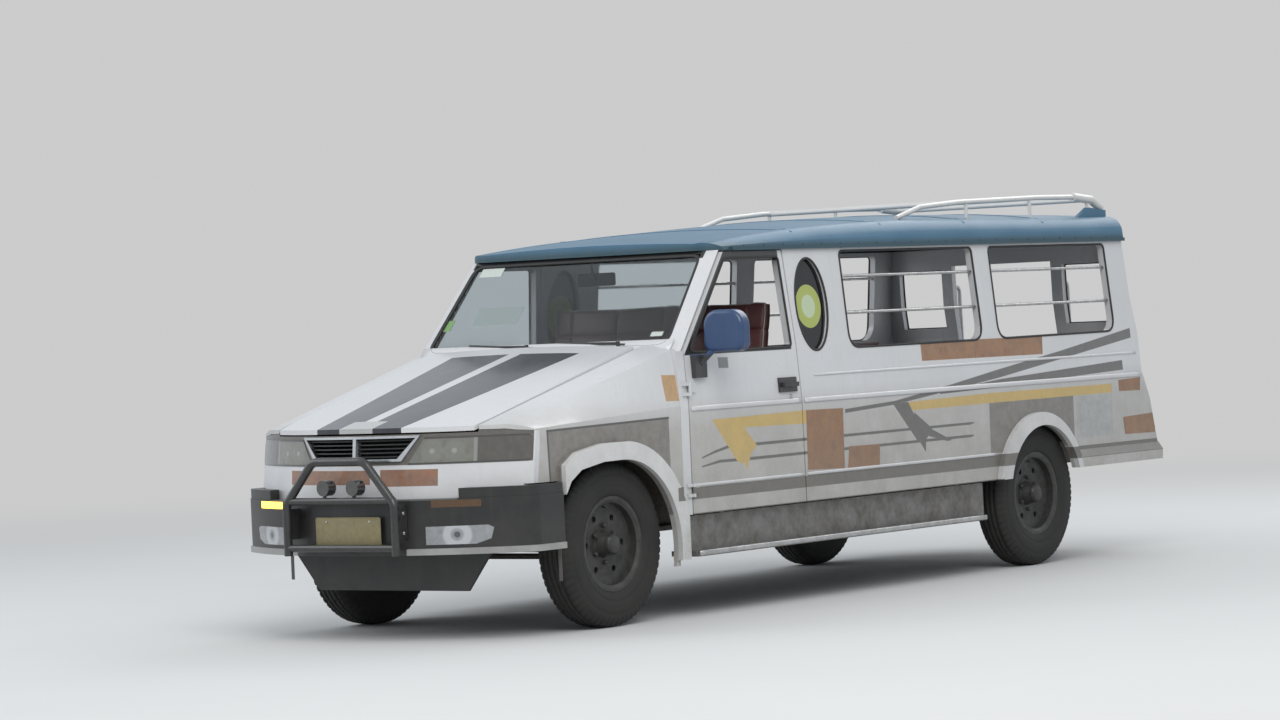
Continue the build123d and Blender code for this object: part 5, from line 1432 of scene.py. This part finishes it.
mirror_face = rounded(rectangle(0.098, 0.083), (0.034, 0.034, 0.064, 0.064), 6)
glass = slab(mirror_face, on_mirror, 0.0015)
piece("Mirror_glass", glass, "mirror", "door_left_body", smooth=False)
path = [on_mirror(p.x, p.y) for p in denser(mirror_face, 0.03)]
bezel = sweep(path, circle(0.003, 8), (0, 1, 0), closed=True)
piece("Mirror_bezel", bezel, "plastic", "door_left_body")
profile = [(0.0, 0.011), (0.004, 0.0105), (0.005, 0.008), (0.0052, 0.0001)]
lock = turned(profile, (half_width(1.01), st(2.300), 1.010), "X", 20)
both("Door_lock", lock, "steel", "door_{}_body")
profile = [(0.0, 0.058), (0.006, 0.056), (0.008, 0.040), (0.016, 0.038), (0.018, 0.034), (0.018, 0.0001)]
cap = merge(revolve(profile, 32), soft_box((0.014, -0.030, -0.006), (0.026, 0.030, 0.006)))
cap = moved(cap, Matrix.Translation((half_width(0.80), st(3.98), 0.80)))
piece("Fuel_cap", cap, "plastic", mirrored=True)
nozzles = [box((x - 0.012, x + 0.012), (1.345, 1.368), (1.2885, 1.299)) for x in (-0.25, 0.25)]
piece("Washer_nozzles", nozzles, "plastic")
clamps = [bolt((side * 0.3382, st(-0.076), z), (side, 0, 0), 0.009, 0.006)
          for side in (-1, 1) for z in (0.505, 0.595)]
piece("Bar_bolts", clamps, "steel")
bolts = [bolt((x, st(5.962), 0.5852), (0, 0, 1), 0.010, 0.006) for x in (-0.62, -0.30, 0.30, 0.62)]
piece("Step_bolts", bolts, "steel")
both("Rear_damper", [
    tube([(0.445, st(4.74), 0.345), (0.440, st(4.66), 0.460)], 0.026, 16),
    tube([(0.440, st(4.66), 0.460), (0.436, st(4.60), 0.560)], 0.018, 16),
    tube([(0.380, st(4.60), 0.560), (0.452, st(4.60), 0.560)], 0.009),
    tube([(0.300, st(4.74), 0.345), (0.470, st(4.74), 0.345)], 0.009),
], "dark")

# Engine bay, seen with the bonnet open: on top of the engine block, whose top is the deck

deck = 0.9003
cover = [
    box((-0.112, 0.102), (0.590, 1.180), (deck, deck + 0.014)),
    box((-0.100, 0.090), (0.600, 1.170), (deck + 0.012, deck + 0.075), 0.022, 3),
]
cover += [box((-0.085, 0.075), (0.64 + 0.075 * k, 0.652 + 0.075 * k), (deck + 0.070, deck + 0.081))
          for k in range(7)]
piece("Rocker_cover", cover, "aluminium")
bolts = [bolt((x, st(0.60 + 0.114 * k), deck + 0.014), (0, 0, 1), 0.007, 0.005)
         for x in (-0.106, 0.096) for k in range(6)]
piece("Rocker_cover_bolts", bolts, "steel")
profile = [(0.0, 0.030), (0.014, 0.029), (0.018, 0.024), (0.018, 0.0001)]
piece("Oil_filler_cap", turned(profile, (0.03, st(1.12), deck + 0.075)), "plastic")
drum = [(0.0, 0.0001), (0.0, 0.078), (0.008, 0.086), (0.052, 0.086), (0.060, 0.082), (0.064, 0.030),
        (0.066, 0.0001)]
cleaner = (0.188, st(0.840))
snout = [(0.188, st(0.765), deck + 0.075), (0.188, st(0.640), deck + 0.070),
         (0.235, st(0.545), deck + 0.050)]
piece("Air_cleaner", [
    turned([(0.0, 0.038), (0.035, 0.038), (0.048, 0.052)], (*cleaner, deck)),
    turned(drum, (*cleaner, deck + 0.046), sides=36),
    turned([(0.0, 0.012), (0.014, 0.010), (0.014, 0.0001)], (*cleaner, deck + 0.110)),
    tube(snout, 0.026, 18, 0.06),
], "dark")
intake = []
for k in range(4):
    run = [(0.098, st(0.665 + 0.13 * k), deck + 0.026), (0.150, st(0.665 + 0.13 * k), deck + 0.026),
           (0.188, st(0.790 + 0.03 * k), deck + 0.022)]
    intake.append(tube(run, 0.018, 16, 0.04))
piece("Intake_pipes", intake, "aluminium")
shield = [box((-0.235, -0.135), (0.690, 1.080), (deck, deck + 0.040), 0.016, 3)]
for k in range(4):
    front = 0.75 + 0.085 * k
    shield.append(box((-0.225, -0.145), (front, front + 0.015), (deck + 0.036, deck + 0.044), 0.003))
piece("Heat_shield", shield, "rust")
cap = [(0.0, 0.034), (0.030, 0.034), (0.036, 0.028), (0.040, 0.0001)]
leads = [turned(cap, (-0.165, st(1.170), deck))]
for k in range(4):
    leads.append(tube([
        (-0.100, st(0.690 + 0.12 * k), deck + 0.050), (-0.126, st(0.700 + 0.12 * k), deck + 0.064),
        (-0.128 - 0.008 * k, st(1.060), deck + 0.070),
        (-0.165 + 0.012 * (k - 1.5), st(1.170), deck + 0.038),
    ], 0.004, 8))
piece("Ignition_leads", leads, "rubber")

# Belt drive, fan and radiator in front of the engine

rim = [(0.0, 0.0001), (0.0, 0.6), (0.004, 1.0), (0.010, 1.0), (0.014, 0.90), (0.018, 1.0), (0.024, 1.0),
       (0.026, 0.6)]
fan_height = 0.745
engine_front = st(0.5195)
drive = []
for x, z, radius in ((0.0, 0.560, 0.085), (0.0, fan_height, 0.068), (0.185, 0.800, 0.036)):
    profile = [(-along, max(0.0001, share * radius)) for along, share in rim]
    drive.append(turned(profile, (x, engine_front, z), "Y", 32))
profile = [(-0.004, 0.0001), (-0.004, 0.058), (0.0, 0.062)]
drive.append(turned(profile, (0.185, engine_front, 0.800), "Y"))
piece("Pulleys", drive, "steel")
run = [(-0.083, 0.565), (-0.066, 0.755), (-0.030, 0.806), (0.015, 0.812), (0.180, 0.838), (0.214, 0.822),
       (0.220, 0.790), (0.083, 0.555), (0.040, 0.488), (-0.040, 0.486)]
path = [Vector((p.x, st(0.5055), p.y)) for p in denser(rounded(run, 0.03, 5))]
piece("Fan_belt", sweep(path, circle(0.006, 8), (0, 1, 0), closed=True), "rubber")
profile = [(0.0, 0.0001), (0.0, 0.040), (0.018, 0.042), (0.022, 0.036)]
fan = [turned(profile, (0.0, st(0.4720), fan_height), "Y")]
blade = soft_box((0.036, -0.0012, -0.026), (0.158, 0.0012, 0.030), 0.0008)
blade = moved(blade, Matrix.Rotation(math.radians(24), 4, "X"))
for k in range(6):
    place = Matrix.Translation((0.0, st(0.482), fan_height)) @ Matrix.Rotation(math.pi / 3 * k, 4, "Y")
    fan.append(moved(blade, place))
piece("Fan", fan, "plastic")
radiator = [
    box((-0.262, 0.262), (0.408, 0.440), (0.680, 0.920), 0.002),
    box((-0.275, 0.275), (0.400, 0.448), (0.918, 0.975), 0.012, 3),
    box((-0.275, 0.275), (0.400, 0.448), (0.634, 0.682), 0.012, 3),
    box((-0.282, -0.262), (0.402, 0.446), (0.640, 0.960), 0.003),
    box((0.262, 0.282), (0.402, 0.446), (0.640, 0.960), 0.003),
    turned([(0.0, 0.022), (0.014, 0.024), (0.018, 0.018), (0.018, 0.0001)], (0.12, st(0.424), 0.974)),
]
for k in range(20):
    low = 0.688 + 0.0115 * k
    radiator.append(box((-0.258, 0.258), (0.404, 0.444), (low, low + 0.0025), 0.0008))
piece("Radiator", radiator, "chassis")
upper = [(-0.10, st(0.446), 0.948), (-0.10, st(0.520), 0.955), (-0.060, st(0.640), 0.945),
         (-0.060, st(0.640), 0.915)]
lower = [(0.16, st(0.446), 0.662), (0.16, st(0.500), 0.662), (0.120, st(0.520), 0.700)]
piece("Radiator_hoses", [tube(upper, 0.019, 16, 0.05), tube(lower, 0.019, 16)], "rubber")

# Battery on the left arch, brake servo and washer bottle at the firewall

battery = [
    box((0.428, 0.592), (0.780, 1.010), (0.8680, 1.010), 0.006),
    box((0.424, 0.596), (0.776, 1.014), (1.004, 1.030), 0.005),
]
plug = [(0.0, 0.012), (0.006, 0.012), (0.006, 0.0001)]
battery += [turned(plug, (0.475, st(0.82 + 0.03 * k), 1.030)) for k in range(6)]
piece("Battery", battery, "plastic")
post = [(0.0, 0.009), (0.016, 0.008), (0.016, 0.0001)]
strap = [box((0.418, 0.602), (0.885, 0.905), (1.0300, 1.0335), 0.001)]
strap += [turned(post, (0.560, st(s), 1.030)) for s in (0.810, 0.980)]
piece("Battery_strap", strap, "steel")
cables = []
for stations in ((0.810, 0.760, 0.700, 0.620), (0.980, 1.080, 1.120, 1.100)):
    heights = (1.040, 1.030 if stations[0] < 0.9 else 1.010, 0.960, 0.895)
    run = zip((0.560, 0.480, 0.300, 0.240), map(st, stations), heights)
    cables.append(tube(run, 0.006, bends=0.06))
piece("Battery_cables", cables, "rubber")
drum = [(-0.100, 0.0001), (-0.100, 0.060), (-0.085, 0.098), (-0.040, 0.112), (-0.034, 0.112),
        (-0.012, 0.090), (0.0, 0.085)]
piece("Brake_servo", [
    turned(drum, (0.380, st(1.3915), 1.060), "Y", 36),
    turned([(-0.140, 0.0001), (-0.140, 0.020), (0.0, 0.022)], (0.380, st(1.292), 1.060), "Y"),
], "dark")
piece("Fluid_pots", [
    box((0.350, 0.410), (1.165, 1.270), (1.078, 1.120), 0.010, 3),
    turned([(0.0, 0.022), (0.012, 0.021), (0.014, 0.0001)], (0.380, st(1.20), 1.119)),
    box((-0.520, -0.410), (1.260, 1.380), (0.850, 1.020), 0.016, 3),
    turned([(0.0, 0.026), (0.016, 0.025), (0.018, 0.0001)], (-0.465, st(1.320), 1.019)),
    box((-0.535, -0.395), (1.372, 1.3915), (0.900, 0.930), 0.002),
], "bottle")

# Stage, light and camera

floor_mesh = bpy.data.meshes.new("Stage_floor")
reach = 150.0
floor_mesh.from_pydata(
    [(-reach, -reach, 0), (reach, -reach, 0), (reach, reach, 0), (-reach, reach, 0)], [], [(0, 1, 2, 3)],
)
floor = bpy.data.objects.new("Stage_floor", floor_mesh)
bpy.context.scene.collection.objects.link(floor)
t = Tree("Stage_floor")
BACKDROP = (0.60, 0.60, 0.60)
t.set("Base Color", t.mix(t.noise(0.7, 3.0), (0.60, 0.60, 0.595), (0.57, 0.57, 0.565)))
t.set("Roughness", 0.85)
across = t.times(t.x, t.x)
along = t.times(t.y, t.y)
distance = t.math("SQRT", t.math("ADD", across, along))
fade = t.spread(distance, 4.5, 16.0)
fade = t.times(fade, t.times(fade, t.scaled(fade, -2.0, 3.0)))
glow = t.new("ShaderNodeEmission")
glow.inputs["Color"].default_value = (*BACKDROP, 1.0)
seen_by_camera = t.times(fade, t.new("ShaderNodeLightPath").outputs["Is Camera Ray"])
blend = t.new("ShaderNodeMixShader")
t.put(seen_by_camera, blend.inputs[0])
t.links.new(t.shader.outputs[0], blend.inputs[1])
t.links.new(glow.outputs[0], blend.inputs[2])
t.links.new(blend.outputs[0], t.nodes["Material Output"].inputs["Surface"])
floor_mesh.materials.append(t.material)

world = bpy.data.worlds.new("World")
bpy.context.scene.world = world
world.use_nodes = True
tree = world.node_tree
background = tree.nodes["Background"]
path_node = tree.nodes.new("ShaderNodeLightPath")
seen = tree.nodes.new("ShaderNodeMix")
seen.data_type = "RGBA"
seen.inputs[6].default_value = (0.62, 0.66, 0.70, 1)
seen.inputs[7].default_value = (*BACKDROP, 1)
tree.links.new(path_node.outputs["Is Camera Ray"], seen.inputs[0])
tree.links.new(seen.outputs[2], background.inputs["Color"])
background.inputs["Strength"].default_value = 1.0


def area(name, place, target, size, energy, colour=(1, 1, 1)):
    """A rectangular light turned to a target."""
    light = bpy.data.lights.new(name, "AREA")
    light.shape = "RECTANGLE"
    light.size, light.size_y = size
    light.energy = energy
    light.color = colour
    obj = bpy.data.objects.new(name, light)
    obj.location = place
    obj.rotation_euler = (Vector(target) - Vector(place)).to_track_quat("-Z", "Y").to_euler()
    bpy.context.scene.collection.objects.link(obj)


area("Key", (7.0, -8.0, 9.0), (0, 0, 0.8), (8, 8), 900, (1.0, 0.99, 0.97))
area("Fill", (-8.0, -7.0, 6.0), (0, -1, 0.8), (7, 7), 350, (0.95, 0.97, 1.0))
area("Back", (0.0, 9.0, 8.0), (0, 0, 1.0), (9, 6), 420)

AZIMUTH, ELEVATION, ROLL = (math.radians(a) for a in (37.0, 0.656, -2.57))
back = Vector((
    math.sin(AZIMUTH) * math.cos(ELEVATION),
    -math.cos(AZIMUTH) * math.cos(ELEVATION),
    math.sin(ELEVATION),
))
right = Vector((math.cos(AZIMUTH), math.sin(AZIMUTH), 0.0))
up = back.cross(right)
turned_right = right * math.cos(ROLL) + up * math.sin(ROLL)
turned_up = up * math.cos(ROLL) - right * math.sin(ROLL)
camera = bpy.data.cameras.new("Camera")
camera.lens = 112.34
camera.sensor_width = 36.0
camera.clip_end = 400.0
eye = bpy.data.objects.new("Camera", camera)
eye.matrix_world = Matrix((
    (turned_right.x, turned_up.x, back.x, 12.04856 - SIDE),
    (turned_right.y, turned_up.y, back.y, -16.7316),
    (turned_right.z, turned_up.z, back.z, 1.44465),
    (0, 0, 0, 1),
))
bpy.context.scene.collection.objects.link(eye)
bpy.context.scene.camera = eye
bpy.context.scene.view_settings.view_transform = "Standard"
